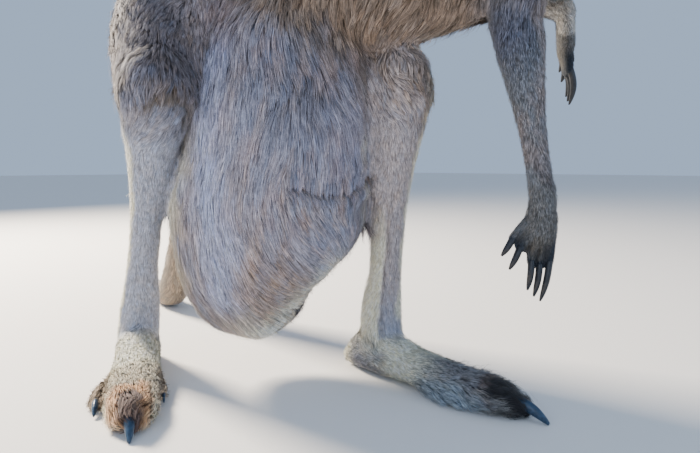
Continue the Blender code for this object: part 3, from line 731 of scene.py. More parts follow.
# Lines on the body: the folds over the right knee, the groove between thigh and pouch, and
# the pale streaks and the mouth of the pouch.
KNEE_FOLD = (
    (-0.228, -0.012, 0.416), (-0.215, -0.019, 0.422), (-0.202, -0.021, 0.425),
    (-0.188, -0.014, 0.423), (-0.177, -0.003, 0.410), (-0.176, 0.002, 0.398),
)
UPPER_FOLD = ((-0.238, -0.014, 0.440), (-0.226, -0.023, 0.442), (-0.210, -0.026, 0.438))
VALLEY = (
    (-0.105, 0.030, 0.570), (-0.120, 0.012, 0.530), (-0.142, 0.004, 0.480), (-0.160, 0.002, 0.435),
)
PALE_STREAK = (
    (-0.128, -0.020, 0.500), (-0.148, -0.018, 0.420), (-0.158, -0.030, 0.350),
    (-0.163, -0.038, 0.283), (-0.157, -0.036, 0.213), (-0.148, -0.020, 0.160),
)
PALE_UNDER = (
    (-0.005, -0.118, 0.178), (-0.030, -0.095, 0.140), (-0.054, -0.070, 0.108), (-0.080, -0.045, 0.088),
)
POUCH_MOUTH = [
    pouch_point(math.radians(angle), height)
    for angle, height in ((18, 0.312), (32, 0.298), (46, 0.291), (60, 0.293), (74, 0.304))
]
# Folds: the line, then rise, distance and width of the ridge over it, and depth and width of
# the groove along it.
FOLDS = (
    (KNEE_FOLD, 0.006, 0.008, 0.011, 0.007, 0.005),
    (UPPER_FOLD, 0.003, 0.006, 0.008, 0.003, 0.004),
)
# Dents and swellings of the pouch and the thigh: place, radius and rise.
POUCH_FORMS = (
    ((0.028, -0.086, 0.163), 0.042, -0.015),
    ((-0.012, -0.052, 0.097), 0.030, -0.013),
    ((-0.040, -0.085, 0.112), 0.034, -0.005),
    ((-0.086, -0.045, 0.080), 0.028, 0.013),
)
THIGH_SWELLING = ((-0.193, 0.002, 0.502), 0.034, 0.015)
# Forms of the face on both sides: ahead, out and height in the head, radius and rise.
FACE_FORMS = (
    (0.100, 0.036, 0.031, 0.011, 0.0030),
    (0.112, 0.034, 0.024, 0.009, 0.0015),
    (0.084, 0.044, -0.004, 0.016, 0.0022),
    (0.124, 0.031, 0.010, 0.011, -0.0028),
    (0.176, 0.019, -0.021, 0.014, 0.0038),
    (0.180, 0.008, -0.040, 0.012, 0.0022),
    (0.184, 0.010, 0.002, 0.012, 0.0018),
    (0.096, 0.043, 0.014, 0.011, -0.0020),
    (0.060, 0.045, -0.020, 0.022, 0.0030),
)
# The swelling round each eye, and the part of the head whose mesh is made finer.
LID_RING_RADIUS = 0.0125
LID_RING_WIDTH = 0.0055
LID_RING_RISE = 0.0042
FACE_CENTRE = (0.125, 0, 0)
FACE_REACH = 0.085
# The line between the lips, from the nose back.
LIPS = (
    (0.203, 0.003, -0.024),
    (0.192, 0.017, -0.026),
    (0.170, 0.027, -0.029),
    (0.146, 0.031, -0.031),
    (0.124, 0.037, -0.027),
)


def fine_zones():
    """The places where the skin keeps its fine mesh, with a radius for each."""
    zones = [(head_point(0.11, 0, 0), 0.125), (POUCH_MOUTH[2], 0.10)]
    for side in SIDES:
        zones += [(hand_point(side, 0.01, 0.05), 0.065), (foot_point(side, 0.25, 0, 0), 0.09)]
    return zones


def whole_body():
    """The body in one mesh: every form fused, softened and thinned where it is plain."""
    verts, faces = merged(loft(*form, BLUNT.get(name, 0.75)) for name, form in FORMS.items())
    mesh = bpy.data.meshes.new("skin")
    mesh.from_pydata([tuple(v) for v in verts], [], faces)
    body = bpy.data.objects.new("skin", mesh)
    bpy.context.scene.collection.objects.link(body)
    remesh = body.modifiers.new("fuse", "REMESH")
    remesh.mode = "VOXEL"
    remesh.voxel_size = SKIN_VOXEL
    soften = body.modifiers.new("soften", "SMOOTH")
    soften.factor = 0.5
    soften.iterations = SKIN_SMOOTHING
    bake(body)
    spots = positions(body.data)
    fine = np.any([distance(spots, place) < radius for place, radius in fine_zones()], axis=0)
    coarse = body.vertex_groups.new(name="coarse")
    coarse.add(np.flatnonzero(~fine).tolist(), 1.0, "REPLACE")
    thin = body.modifiers.new("thin out", "DECIMATE")
    thin.ratio = SKIN_TRIANGLES / (2 * len(body.data.polygons))
    thin.vertex_group = coarse.name
    bake(body)
    body.vertex_groups.clear()
    work = bmesh.new()
    work.from_mesh(body.data)
    bmesh.ops.triangulate(work, faces=work.faces)
    face = Vector(head_point(*FACE_CENTRE))
    near = [edge for edge in work.edges if (edge.verts[0].co - face).length < FACE_REACH]
    bmesh.ops.subdivide_edges(work, edges=near, cuts=1, smooth=0.4)
    bmesh.ops.triangulate(work, faces=work.faces)
    work.to_mesh(body.data)
    work.free()
    return body


def face_moves(points):
    """How far each point moves out for the forms of the face, the eye sockets and the lips."""
    move = np.zeros(len(points))
    near = distance(points, head_point(0.11, 0, 0)) < 0.14
    for side, sign in SIDES.items():
        for ahead, out, height, radius, rise in FACE_FORMS:
            move += near * rise * swell(points, head_point(ahead, sign * out, height), radius)
        move += LID_RING_RISE * bell(distance(points, EYE[side]) - LID_RING_RADIUS, LID_RING_WIDTH)
        lips = [head_point(ahead, sign * out, height) for ahead, out, height in LIPS]
        far, above = to_line(points, lips)
        move += near * (0.0010 * bell(far, 0.008) * (above > 0) - 0.0026 * bell(far, 0.0020))
    return move


def sculpt(points):
    """How far each point of the skin moves out along its normal, for folds, lids and creases."""
    move = face_moves(points)
    for place, radius, rise in POUCH_FORMS:
        move += rise * swell(points, place, radius)
    # The pouch's two lips, the lower one fuller, with the cleft between them.
    far, above = to_line(points, POUCH_MOUTH)
    move += 0.004 * bell(far - 0.016, 0.012) * (1 + 0.9 * (above < 0))
    move -= 0.008 * bell(far, 0.0060)
    place, radius, rise = THIGH_SWELLING
    move += rise * swell(points, place, radius)
    for line, rise, offset, width, cut, groove in FOLDS:
        far, above = to_line(points, line)
        move += rise * bell(far - offset, width) * (above > 0) - cut * bell(far, groove)
    move += 0.015 * bell(to_line(points, VALLEY)[0], 0.030)
    return move + fingers(points)


def digit_lines(side):
    """A line along the back of each digit of one hand."""
    return [
        [hand_point(side, *mix(knuckle, end, share), 0.008) for share in (0.1, 0.6, 1.2)]
        for knuckle, end, _ in DIGITS.values()
    ]


def digit_gaps(side):
    """A line between each two neighbouring digits of one hand."""
    rows = digit_lines(side)
    return [[0.5 * (a + b) for a, b in zip(*pair)] for pair in zip(rows[:-1], rows[1:])]


def fingers(points):
    """The grooves between the digits, and their knuckles."""
    move = np.zeros(len(points))
    for side in SIDES:
        for line in digit_gaps(side):
            move -= 0.0056 * bell(to_line(points, line)[0], 0.0044)
        for first, second, _ in digit_lines(side):
            move += 0.0012 * swell(points, first, 0.006)
            move += 0.0012 * swell(points, second, 0.006)
    return move


BODY = whole_body()
SPOTS = positions(BODY.data)
X, Y, Z = SPOTS.T
CORNERS = triangles(BODY.data)
PLACE = Place(SPOTS)
NORMALS = vertex_normals(SPOTS, CORNERS)

SPINE_AT = PLACE.of("spine", "along")
SPINE_SHARE = PLACE.weight("spine")
TAIL = SPINE_SHARE * (1 - smooth(SPINE_AT, TAIL_ROOT - 1, TAIL_ROOT + 0.6))
NECK = SPINE_SHARE * smooth(SPINE_AT, NECK_ROOT - 0.6, NECK_ROOT + 0.8)
TRUNK = SPINE_SHARE - TAIL - NECK
PARTS = {name: PLACE.weight(name) for name in ("pouch", "foot", "upper_arm", "forearm")} | {
    "tail": TAIL,
    "neck": NECK,
    "trunk": TRUNK,
    "head": PLACE.weight("skull"),
    "toes": PLACE.weight("fourth", "fifth", "joined"),
    "hand": PLACE.weight("palm"),
    "digits": PLACE.weight("digit"),
}
# From the knees up, the end of the shank wears the thigh's coat.
KNEE_UP = smooth(Z, 0.405, 0.435)
PARTS["thigh"] = PLACE.weight("thigh") + PLACE.weight("shank") * KNEE_UP
PARTS["shank"] = PLACE.weight("shank") * (1 - KNEE_UP)
HEAD_PART, POUCH_PART, THIGH_PART = (PARTS[name] for name in ("head", "pouch", "thigh"))
# The coat of each part: its depth, then each tuft's length and width, the angle at which it
# leaves the skin, in degrees, how dense the tufts are, how dark their roots are (dark roots, and
# painted shade deep in the coat), how far they gather into locks, how wavy they lie, and how much
# the locks differ in shade.
COAT = {
    "tail": (0.0060, 0.016, 0.0013, 14, 190, 0.60, 0.45, 0.22, 0.12),
    "neck": (0.0070, 0.019, 0.0013, 16, 230, 0.70, 0.30, 0.16, 0.08),
    "trunk": (0.0090, 0.032, 0.0013, 20, 150, 0.34, 0.78, 0.26, 0.23),
    "pouch": (0.0085, 0.044, 0.0010, 10, 190, 0.60, 0.45, 0.10, 0.14),
    "head": (0.0026, 0.0070, 0.0007, 16, 900, 0.65, 0.20, 0.08, 0.04),
    "thigh": (0.0080, 0.022, 0.0011, 24, 190, 0.40, 0.58, 0.32, 0.15),
    "shank": (0.0040, 0.0115, 0.0009, 21, 330, 0.70, 0.26, 0.16, 0.05),
    "foot": (0.0036, 0.0110, 0.0009, 30, 400, 0.60, 0.22, 0.24, 0.10),
    "toes": (0.0038, 0.0150, 0.0009, 36, 450, 0.62, 0.40, 0.34, 0.12),
    "upper_arm": (0.0070, 0.018, 0.0011, 20, 230, 0.48, 0.45, 0.22, 0.12),
    "forearm": (0.0040, 0.0090, 0.0009, 22, 330, 0.38, 0.18, 0.16, 0.07),
    "hand": (0.0024, 0.0060, 0.0007, 24, 700, 0.42, 0.15, 0.16, 0.07),
    "digits": (0.0016, 0.0042, 0.0006, 18, 900, 0.70, 0.20, 0.10, 0.03),
}


def of_coat(column):
    """One column of COAT, blended over the parts for every vertex of the skin."""
    return sum(PARTS[name] * row[column] for name, row in COAT.items())


HEAD_AT = head_axes(SPOTS)
MUZZLE = smooth(HEAD_AT[0], 0.11, 0.17) * HEAD_PART
MOUTH_FAR, MOUTH_ABOVE = to_line(SPOTS, POUCH_MOUTH)
MOUTH_NEAR = 1 - smooth(MOUTH_FAR, 0.010, 0.040)
GROIN_NEAR = np.clip(1.3 * swell(SPOTS, (-0.172, 0.005, 0.395), 0.045), 0, 1)
DEPTH = of_coat(0) * (1 - 0.4 * MUZZLE) * (1 - 0.3 * MOUTH_NEAR)
DEPTH = DEPTH - 0.003 * GROIN_NEAR - of_coat(0) * GROIN_NEAR
SKIN_SPOTS = SPOTS + (sculpt(SPOTS) - DEPTH)[:, None] * NORMALS
SKIN_SPOTS[:, 2] = np.maximum(SKIN_SPOTS[:, 2], SOLE_LIFT)
SKIN_NORMALS = vertex_normals(SKIN_SPOTS, CORNERS)


# ---------------------------------------------------------------- the markings
RAGGED = 0.10 * ripple(SPOTS, 0.05, 1) + 0.05 * ripple(SPOTS, 0.018, 2)
RIGHTWARDS = np.array((0.707, -0.707, 0.0))
FACING_RIGHT = dot(NORMALS, RIGHTWARDS)
BASE = {
    "tail": TAIL_FAWN,
    "neck": FAWN,
    "trunk": FAWN,
    "pouch": WHITE_IN_SHADE,
    "head": HEAD_GREY,
    "thigh": mix(GREY_BROWN, SHIN_WARM, 0.15),
    "shank": SHIN,
    "foot": CREAM,
    "toes": SAND,
    "upper_arm": GREY_BROWN,
    "forearm": ARM_GREY,
    "hand": HAND_GREY,
    "digits": DIGIT_GREY,
}


def blend(base, colour, amount):
    """base with amount of colour over it."""
    amount = np.asarray(amount)[:, None]
    return base * (1 - amount) + np.array(colour) * amount


def layered(colour, *layers):
    """colour with each layer's shade laid over it in turn, by the layer's amount."""
    for shade, amount in layers:
        colour = blend(colour, shade, amount)
    return colour


def patch(place, radius):
    """A soft round patch of the skin."""
    return swell(SPOTS, place, radius)


def torn(amount):
    """An amount with ragged edges, from 0 to 1."""
    return np.clip(amount + RAGGED * amount, 0, 1)


def cloudy(amount):
    """An amount with ragged shreds all over it, from 0 to 1."""
    return np.clip(amount + RAGGED, 0, 1)


def stripe(line, width):
    """A soft stripe of the skin along a line."""
    return bell(to_line(SPOTS, line)[0], width)


def below(low, high, grain=0.0):
    """The skin below a height, over a soft band whose edges are ragged by grain."""
    return 1 - smooth(Z + grain * RAGGED, low, high)


def thigh(side):
    """The thigh of one side, with the end of the shank that wears its coat."""
    return PLACE.weight(f"thigh_{side}") + PLACE.weight(f"shank_{side}") * KNEE_UP


BELLY = POUCH_PART + TRUNK
LEFTWARDS = -FACING_RIGHT + RAGGED
STREAK_TINT = (0.22, 0.17, 0.11)
POUCH_TURN = PLACE.of("pouch", "turn")[:, None] * (0.13, 0.0, 0.0)
STREAKS = ripple(POUCH_TURN + 0.04 * SPOTS, 0.010, 21)


def trunk_layers():
    """Blue-grey back, pale underside and throat, and the tail's dark tip."""
    turn = np.sin(PLACE.of("spine", "turn"))
    low = smooth(-turn + RAGGED, 0.35, 0.75)
    high = smooth(turn + RAGGED, 0.2, 0.9)
    chest = TRUNK * smooth(-Y, 0.30, 0.42)
    return (
        (BLUE_GREY, 0.55 * high * (TRUNK + NECK)),
        (WHITE_IN_SHADE, 0.6 * low * TRUNK * smooth(Y, -0.36, -0.16)),
        (THROAT, 0.9 * low * (NECK + 0.8 * chest)),
        (GREY_BROWN, 0.5 * high * TAIL),
        (UMBER, 0.5 * TAIL * (1 - smooth(SPINE_AT, 0.2, 2.0))),
    )


def flank_layers():
    """The fawn of the flank and left knee, which ends on a slanting line over a grey belly. The line is
    darkened, partly dark fur and partly painted shade of the crease; the knee's right side is partly a
    painted sunlit rim.
    """
    front = smooth(-Y, -0.05, 0.03)
    over = Z - (0.572 - 0.163 * X + 0.565 * Y) + 0.15 * RAGGED
    grey = patch((-0.070, -0.145, 0.425), 0.060) + patch((-0.090, -0.100, 0.480), 0.05)
    # Facing right: the fawn cap reaches further down the left knee's right side, partly its own fawn and
    # partly a painted sunlit rim.
    outer_edge = smooth(FACING_RIGHT, 0.35, 0.85)
    cap = smooth(over + 0.060 * outer_edge + 0.06 * RAGGED, -0.014, 0.016)
    knee = thigh("left") + PLACE.weight("shank_left") * smooth(Z, 0.36, 0.39) * outer_edge
    # A dark line along the fawn's lower edge: partly dark fur, partly painted shade of the crease above
    # the belly.
    line = bell(over - 0.004, 0.012) * smooth(X, -0.04, 0.03)
    return (
        (mix(BLUE_GREY, PINK, 0.12), 0.80 * cloudy(grey) * BELLY),
        (FAWN, front * smooth(over, -0.020, 0.030) * BELLY),
        (SHIN_WARM, 0.85 * front * thigh("left") * (1 - smooth(over, 0.0, 0.02))),
        (mix(FAWN, BROWN, 0.7), 0.92 * front * cap * np.clip(knee, 0, 1)),
        (UMBER, 0.5 * front * line),
    )


def pouch_layers():
    """Tan streaks, and the blond and cream underside of the pouch; the cream is brightened with painted
    light against the underside's own shade.
    """
    gold = smooth(STREAKS, 0.1, 0.9)
    warm = patch((-0.118, -0.060, 0.165), 0.080) * POUCH_PART
    bottom = patch((-0.118, -0.030, 0.092), 0.050) * POUCH_PART
    pale = stripe(PALE_UNDER, 0.034) * POUCH_PART
    return (
        (TAN, np.clip((0.55 + 0.35 * gold) * (warm + RAGGED * warm), 0, 0.9)),
        (TAN, 0.30 * gold * POUCH_PART),
        (BLOND, 0.8 * torn(bottom)),
        # Cream fur, made brighter as painted light where the pouch's underside turns away from the
        # light.
        (mix(MILK, CREAM, 0.5), 0.95 * np.clip(1.3 * pale + 0.5 * RAGGED * pale, 0, 1)),
    )


def thigh_layers():
    """The pale lower thigh and the blue-grey outside of the right knee."""
    outer = patch((-0.246, -0.005, 0.445), 0.034)
    return (
        (SHIN, (0.50 * below(0.360, 0.415, 0.15) + 0.04) * THIGH_PART),
        (mix(LAVENDER, BLUE_GREY, 0.7), 0.7 * outer * PLACE.weight("thigh_right", "shank_right")),
    )


def cloud_layers():
    """Lilac and pink clouds on the pouch, a painted rim highlight, blond, on its lower left edge,
    painted shade in the knee's folds, and the groin's pink and grey.
    """
    lilac = patch((-0.010, -0.160, 0.380), 0.048) * POUCH_PART
    cloud = ripple(SPOTS, 0.028, 31) * POUCH_PART
    pink = patch((-0.111, 0.000, 0.545), 0.048)
    core = 1.2 * patch((-0.195, -0.010, 0.482), 0.048)
    core = core + 0.7 * patch((-0.190, 0.03, 0.56), 0.06)
    right = PLACE.weight("thigh_right", "shank_right")
    # Painted rim highlight: the lower pouch's left-facing side, blond, as where light from behind
    # catches it.
    edge = smooth(LEFTWARDS, 0.62, 0.90) * below(0.34, 0.42)
    groin = smooth(-Y, -0.10, 0.0) * PLACE.weight("thigh_right") * smooth(X, -0.185, -0.15)
    return (
        (mix(LAVENDER, PINK, 0.35), 0.6 * torn(lilac)),
        (PINK, 0.40 * smooth(cloud, 0.15, 0.9)),
        (LAVENDER, 0.12 * smooth(-cloud, 0.15, 0.9)),
        (PINK, 0.85 * torn(pink) * (BELLY + THIGH_PART)),
        (THIGH_GREY, 0.82 * cloudy(core) * thigh("right")),
        # Painted shade, olive, in the creases of the knee's two folds.
        (SHADE_OLIVE, 0.85 * right * stripe(KNEE_FOLD, 0.0080)),
        (SHADE_OLIVE, 0.55 * right * stripe(UPPER_FOLD, 0.005)),
        (LAVENDER, 0.90 * stripe(PALE_STREAK, 0.027) * (POUCH_PART + 0.4 * THIGH_PART)),
        (BLOND, 0.85 * edge * POUCH_PART),
        (mix(TAN, WHITE_IN_SHADE, 0.45), 0.8 * groin),
    )


def shank_layers():
    """The shanks: painted rim highlights along both edges, partly the legs' own pale fur, and a line of
    painted shade down the left one.
    """
    left, right = PLACE.weight("shank_left"), PLACE.weight("shank_right")
    low_leg = PLACE.weight("shank_left", "foot_left") * below(0.19, 0.28, 0.1)
    # Painted shade: a dark line down the left shank, where it turns from its lit left edge to the front.
    shade_line = bell(LEFTWARDS - 0.05, 0.10) * below(0.24, 0.30)
    return (
        (SHIN_WARM, 0.8 * left * smooth(Z, 0.05, 0.16)),
        # Painted rim highlights, cream and sand, partly the legs' own pale fur: the left-facing edges of
        # the right shank and thigh, and both edges of the left shank.
        (CREAM, 0.90 * smooth(LEFTWARDS, 0.52, 0.80) * right * below(0.33, 0.42, 0.1)),
        (SAND, 0.50 * smooth(LEFTWARDS, 0.60, 0.95) * thigh("right")),
        (CREAM, 0.95 * smooth(LEFTWARDS, 0.10, 0.50) * low_leg),
        (CREAM, 0.75 * smooth(-LEFTWARDS, 0.76, 0.92) * left),
        (SHADE_OLIVE, 0.45 * shade_line * left),
    )


def foot_layers(side):
    """Pale instep, sandy toes, a rusty band and a dark streak behind the great claw; the left foot's
    colours are painted darker and bluer, as in shade.
    """
    # 1 on the left foot, which is painted in blue shade: blue-grey ankle and toes, pale-blue fringe,
    # umber band and a darker streak.
    left_shaded = 1.0 if side == "left" else 0.0
    late = 0.016 * left_shaded
    foot = PLACE.weight(*(f"{name}_{side}" for name in ("foot", *TOES)))
    heel, forward, outward = foot_axes(side)
    ahead = dot(SPOTS - heel, forward) + 0.10 * RAGGED
    out = np.abs(dot(SPOTS - heel, outward)) + 0.03 * RAGGED
    ankle = (1 - smooth(ahead, 0.075, 0.105)) * (1 - left_shaded * (1 - smooth(ahead, 0.0, 0.04)))
    toes = (0.50 + 0.38 * left_shaded) * smooth(ahead, 0.16 - 0.04 * left_shaded, 0.21)
    middle = 1 - smooth(out, 0.016, 0.026)
    wide = 1 - smooth(out + 0.35 * (0.030 - np.minimum(Z, 0.030)), 0.024, 0.036)
    band = smooth(ahead, 0.234 + late, 0.252 + late) * (0.68 * wide + 0.25 * middle)
    side_hair = (0.75 - 0.55 * left_shaded) * smooth(ahead, 0.240, 0.262) * (1 - wide)
    side_hair = side_hair * (1 - smooth(out, 0.030, 0.038))
    rim = 0.8 * (1 - left_shaded) * smooth(ahead, 0.16, 0.19) * smooth(out, 0.030, 0.038)
    streak = 1 - smooth(out, 0.013 + 0.013 * left_shaded, 0.021 + 0.016 * left_shaded)
    streak = (0.90 + 0.08 * left_shaded) * smooth(ahead, 0.265, 0.279) * streak
    instep = patch(foot_point(side, 0.105, 0.012, 0.055), 0.020)
    low = below(0.020, 0.032, 0.05) * smooth(ahead, 0.14, 0.18) * (1 - smooth(ahead, 0.26, 0.28))
    return (
        (mix(SHIN, BLUE_GREY, 0.80 * left_shaded), foot * ankle),
        (HAND_GREY, 0.35 * foot * below(0.006, 0.020)),
        (mix(SAND, BLUE_GREY, 0.9 * left_shaded), foot * toes),
        (mix(RUST, UMBER, 0.9 * left_shaded), foot * band),
        (CREAM, foot * side_hair),
        (BROWN, foot * rim),
        (mix(PLUM, DARK, left_shaded), foot * streak),
        (CREAM, 0.7 * left_shaded * foot * instep),
        (PALE_BLUE, 0.8 * left_shaded * foot * low),
    )


def hand_layers(side):
    """Painted shade in the gaps between the digits, and the grey back of the hand."""
    hand = PARTS["hand"] + PARTS["digits"]
    down = dot(SPOTS - hand_point(side, 0, 0), hand_axes(side)[1])
    back = 0.85 * (1 - smooth(down + 0.03 * RAGGED, 0.040, 0.062)) * smooth(down, -0.01, 0.01)
    back = back * (distance(SPOTS, hand_point(side, 0, 0.05)) < 0.09)
    # Painted shade, dark, along the grooves between the digits.
    gap_shade = [(DARK, 0.75 * stripe(line, 0.0036) * hand) for line in digit_gaps(side)]
    return (*gap_shade, (mix(HAND_GREY, ARM_GREY, 0.4), back * hand))


def arm_layers():
    """The right arm's painted blue shade at the elbow and its pink inside, and the left arm's milky
    inside.
    """
    right = PLACE.weight("forearm_right", "upper_arm_right")
    left = PLACE.weight("forearm_left", "palm_left", "upper_arm_left")
    # Painted shade, blue, on the right forearm near the elbow.
    elbow_shade = patch((0.050, -0.360, 0.490), 0.050)
    inner = smooth(X + 0.08 * RAGGED, 0.066, 0.080) * smooth(Z, 0.30, 0.36)
    front = smooth(-dot(NORMALS, (0.707, 0.707, 0.0)) + RAGGED, 0.0, 0.4)
    return (
        (ARM_SHADE_BLUE, 0.8 * cloudy(elbow_shade) * right),
        (ARM_PINK, 0.65 * inner * right),
        (MILK, 0.9 * front * left * smooth(Z + 0.1 * RAGGED, 0.508, 0.522)),
    )


def head_layers():
    """The white cheek stripe, the dark line over it and muzzle patch, the pale chin and eye rims."""
    ahead, out, height = HEAD_AT
    cheek_line = height + 0.016 + 0.10 * (ahead - 0.13) + 0.01 * RAGGED
    cheek = bell(cheek_line, 0.0075) * smooth(ahead, 0.03, 0.07)
    dark = bell(cheek_line - 0.016, 0.006) * smooth(ahead, 0.115, 0.145)
    crown = smooth(height, 0.005, 0.03) * smooth(-ahead, -0.15, -0.08)
    muzzle = smooth(ahead, 0.150, 0.172) * smooth(np.abs(out), 0.008, 0.014)
    muzzle = muzzle * (1 - smooth(np.abs(height + 0.014), 0.007, 0.012))
    layers = [
        (MILK, 0.90 * cheek * HEAD_PART),
        (UMBER, 0.55 * dark * HEAD_PART),
        (MILK, 0.8 * HEAD_PART * (1 - smooth(height + 0.01 * RAGGED, -0.040, -0.026))),
        (FAWN, 0.5 * HEAD_PART * crown),
        (UMBER, 0.8 * muzzle * HEAD_PART),
    ]
    for side in SIDES:
        ring = distance(SPOTS, EYE[side])
        layers.append((DARK, 0.8 * (1 - smooth(ring, 0.0135, 0.0170))))
        layers.append((CREAM, 0.22 * bell(ring - 0.022, 0.004)))
    return layers


def markings():
    """The coat's colour at every vertex of the skin."""
    colour = sum(PARTS[name][:, None] * np.array(shade) for name, shade in BASE.items())
    colour = layered(colour, *trunk_layers(), *flank_layers(), *pouch_layers(), *thigh_layers())
    colour = colour * (1 + (STREAKS * POUCH_PART)[:, None] * STREAK_TINT)
    colour = layered(colour, *cloud_layers(), *shank_layers())
    for side in SIDES:
        colour = layered(colour, *foot_layers(side), *hand_layers(side))
    colour = layered(colour, *arm_layers(), *head_layers())
    # Painted shade, tan, inside the cleft of the pouch's mouth.
    inside = (1 - smooth(MOUTH_FAR, 0.002, 0.008)) * (MOUTH_ABOVE < 0.004)
    return np.clip(blend(colour, TAN, 0.6 * inside), 0, 1)


MARKINGS = markings()
set_colour(BODY.data, MARKINGS * 0.6)
BODY.data.vertices.foreach_set("co", (SKIN_SPOTS + SHIFT).astype(np.float32).ravel())
BODY.data.update()
BODY.data.shade_smooth()
SKIN = piece("skin", BODY.data, SKIN_LOOK)
bpy.data.objects.remove(BODY, do_unlink=True)
HARD = ("eye_", "ear_", "nose", "hand_claw", "foot_claw")
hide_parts(*(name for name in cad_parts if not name.startswith(HARD)))


# ---------------------------------------------------------------- the lie of the coat
def tangent_to(vectors, normals):
    """The vectors without their part along the normals, at length 1."""
    return unit(vectors - dot(vectors, normals)[:, None] * normals)


def lie():
    """The direction in which the hair lies at every vertex of the skin."""
    total = np.zeros_like(SPOTS)
    for k, name in enumerate(PLACE.names):
        sign = -1 if name in ("spine", "skull") else 1
        total += sign * PLACE.share[k][:, None] * PLACE.axis[k]
    for side in SIDES:
        total -= 0.35 * PLACE.weight(f"thigh_{side}")[:, None] * PELVIS_FORWARD
    low = smooth(-Z, -0.70, -0.54)
    total[:, 2] -= 2.2 * low * TRUNK
    total += 0.4 * low[:, None] * TRUNK[:, None] * RIGHTWARDS
    over = dot(SPOTS - np.array((-0.05, 0.0, 0.0)), RIGHTWARDS)
    swing = 0.12 + smooth(-Z, -0.36, -0.16) * (0.40 + 0.75 * smooth(over, -0.06, 0.10))
    swing = swing * POUCH_PART + 1.0 * patch((-0.005, -0.170, 0.435), 0.06)
    swing = swing - 1.3 * patch((-0.210, 0.000, 0.380), 0.030)
    total += swing[:, None] * RIGHTWARDS
    return tangent_to(total, SKIN_NORMALS)


def tree_of(points, numbers):
    """A tree that finds the nearest of the points with the given numbers."""
    tree = KDTree(len(numbers))
    for k in numbers:
        tree.insert(points[k], int(k))
    tree.balance()
    return tree


class Fur:
    """A surface that hair grows on: its shape, the lie and colour of its hair, and its map."""

    def __init__(self, points, corners, normals, flow, colour, numbers, chart):
        self.points, self.corners, self.normals = points, corners, normals
        self.flow, self.colour, self.numbers, self.chart = flow, colour, numbers, chart
        a, b, c = (points[corners[:, k]] for k in range(3))
        self.area = 0.5 * np.linalg.norm(np.cross(b - a, c - a), axis=1)
        self.tree = tree_of(points, range(len(points)))

    def draw(self, chosen, count):
        """count random roots on the chosen triangles: their triangle and place in it."""
        weight = self.area[chosen] * self.numbers["density"][self.corners[chosen]].mean(axis=1)
        total = np.cumsum(weight)
        drawn_at = np.searchsorted(total, RANDOM.random(count) * total[-1])
        u, v = RANDOM.random((2, count))
        over = u + v > 1
        u[over], v[over] = 1 - u[over], 1 - v[over]
        return chosen[drawn_at.clip(0, len(chosen) - 1)], np.stack([1 - u - v, u, v])

    def height_and_up(self, spots):
        """How high each spot lies over the surface, and which way is up there."""
        k = np.array([self.tree.find(spot)[1] for spot in spots])
        return dot(spots - self.points[k], self.normals[k]), self.normals[k]

    def at(self, values, picked, place):
        """Values of the vertices, at the roots."""
        corner = self.corners[picked]
        if values.ndim == 1:
            return sum(place[k] * values[corner[:, k]] for k in range(3))
        return sum(place[k][:, None] * values[corner[:, k]] for k in range(3))


def locks(root, per_lock):
    """For each root, the number of the root at the middle of its lock of hair."""
    middles = RANDOM.choice(len(root), max(1, len(root) // per_lock), replace=False)
    tree = tree_of(root, middles)
    return np.array([tree.find(spot)[1] for spot in root])


TUFT_PATCH = 0.003
TUFT_CORNERS = np.array([(-1, -1), (1, -1), (-1, 0), (1, 0), (0, 1)]) * TUFT_PATCH / 2
TUFT_FACES = ((0, 1, 3), (0, 3, 2), (2, 3, 4))
WARMER = np.array((1.0, 0.1, -1.0))
TIP_HEIGHT = 0.6
ROOT_DEPTH = 0.0006
STRAY_SHARE = 0.04
DARK_TIP = 0.36


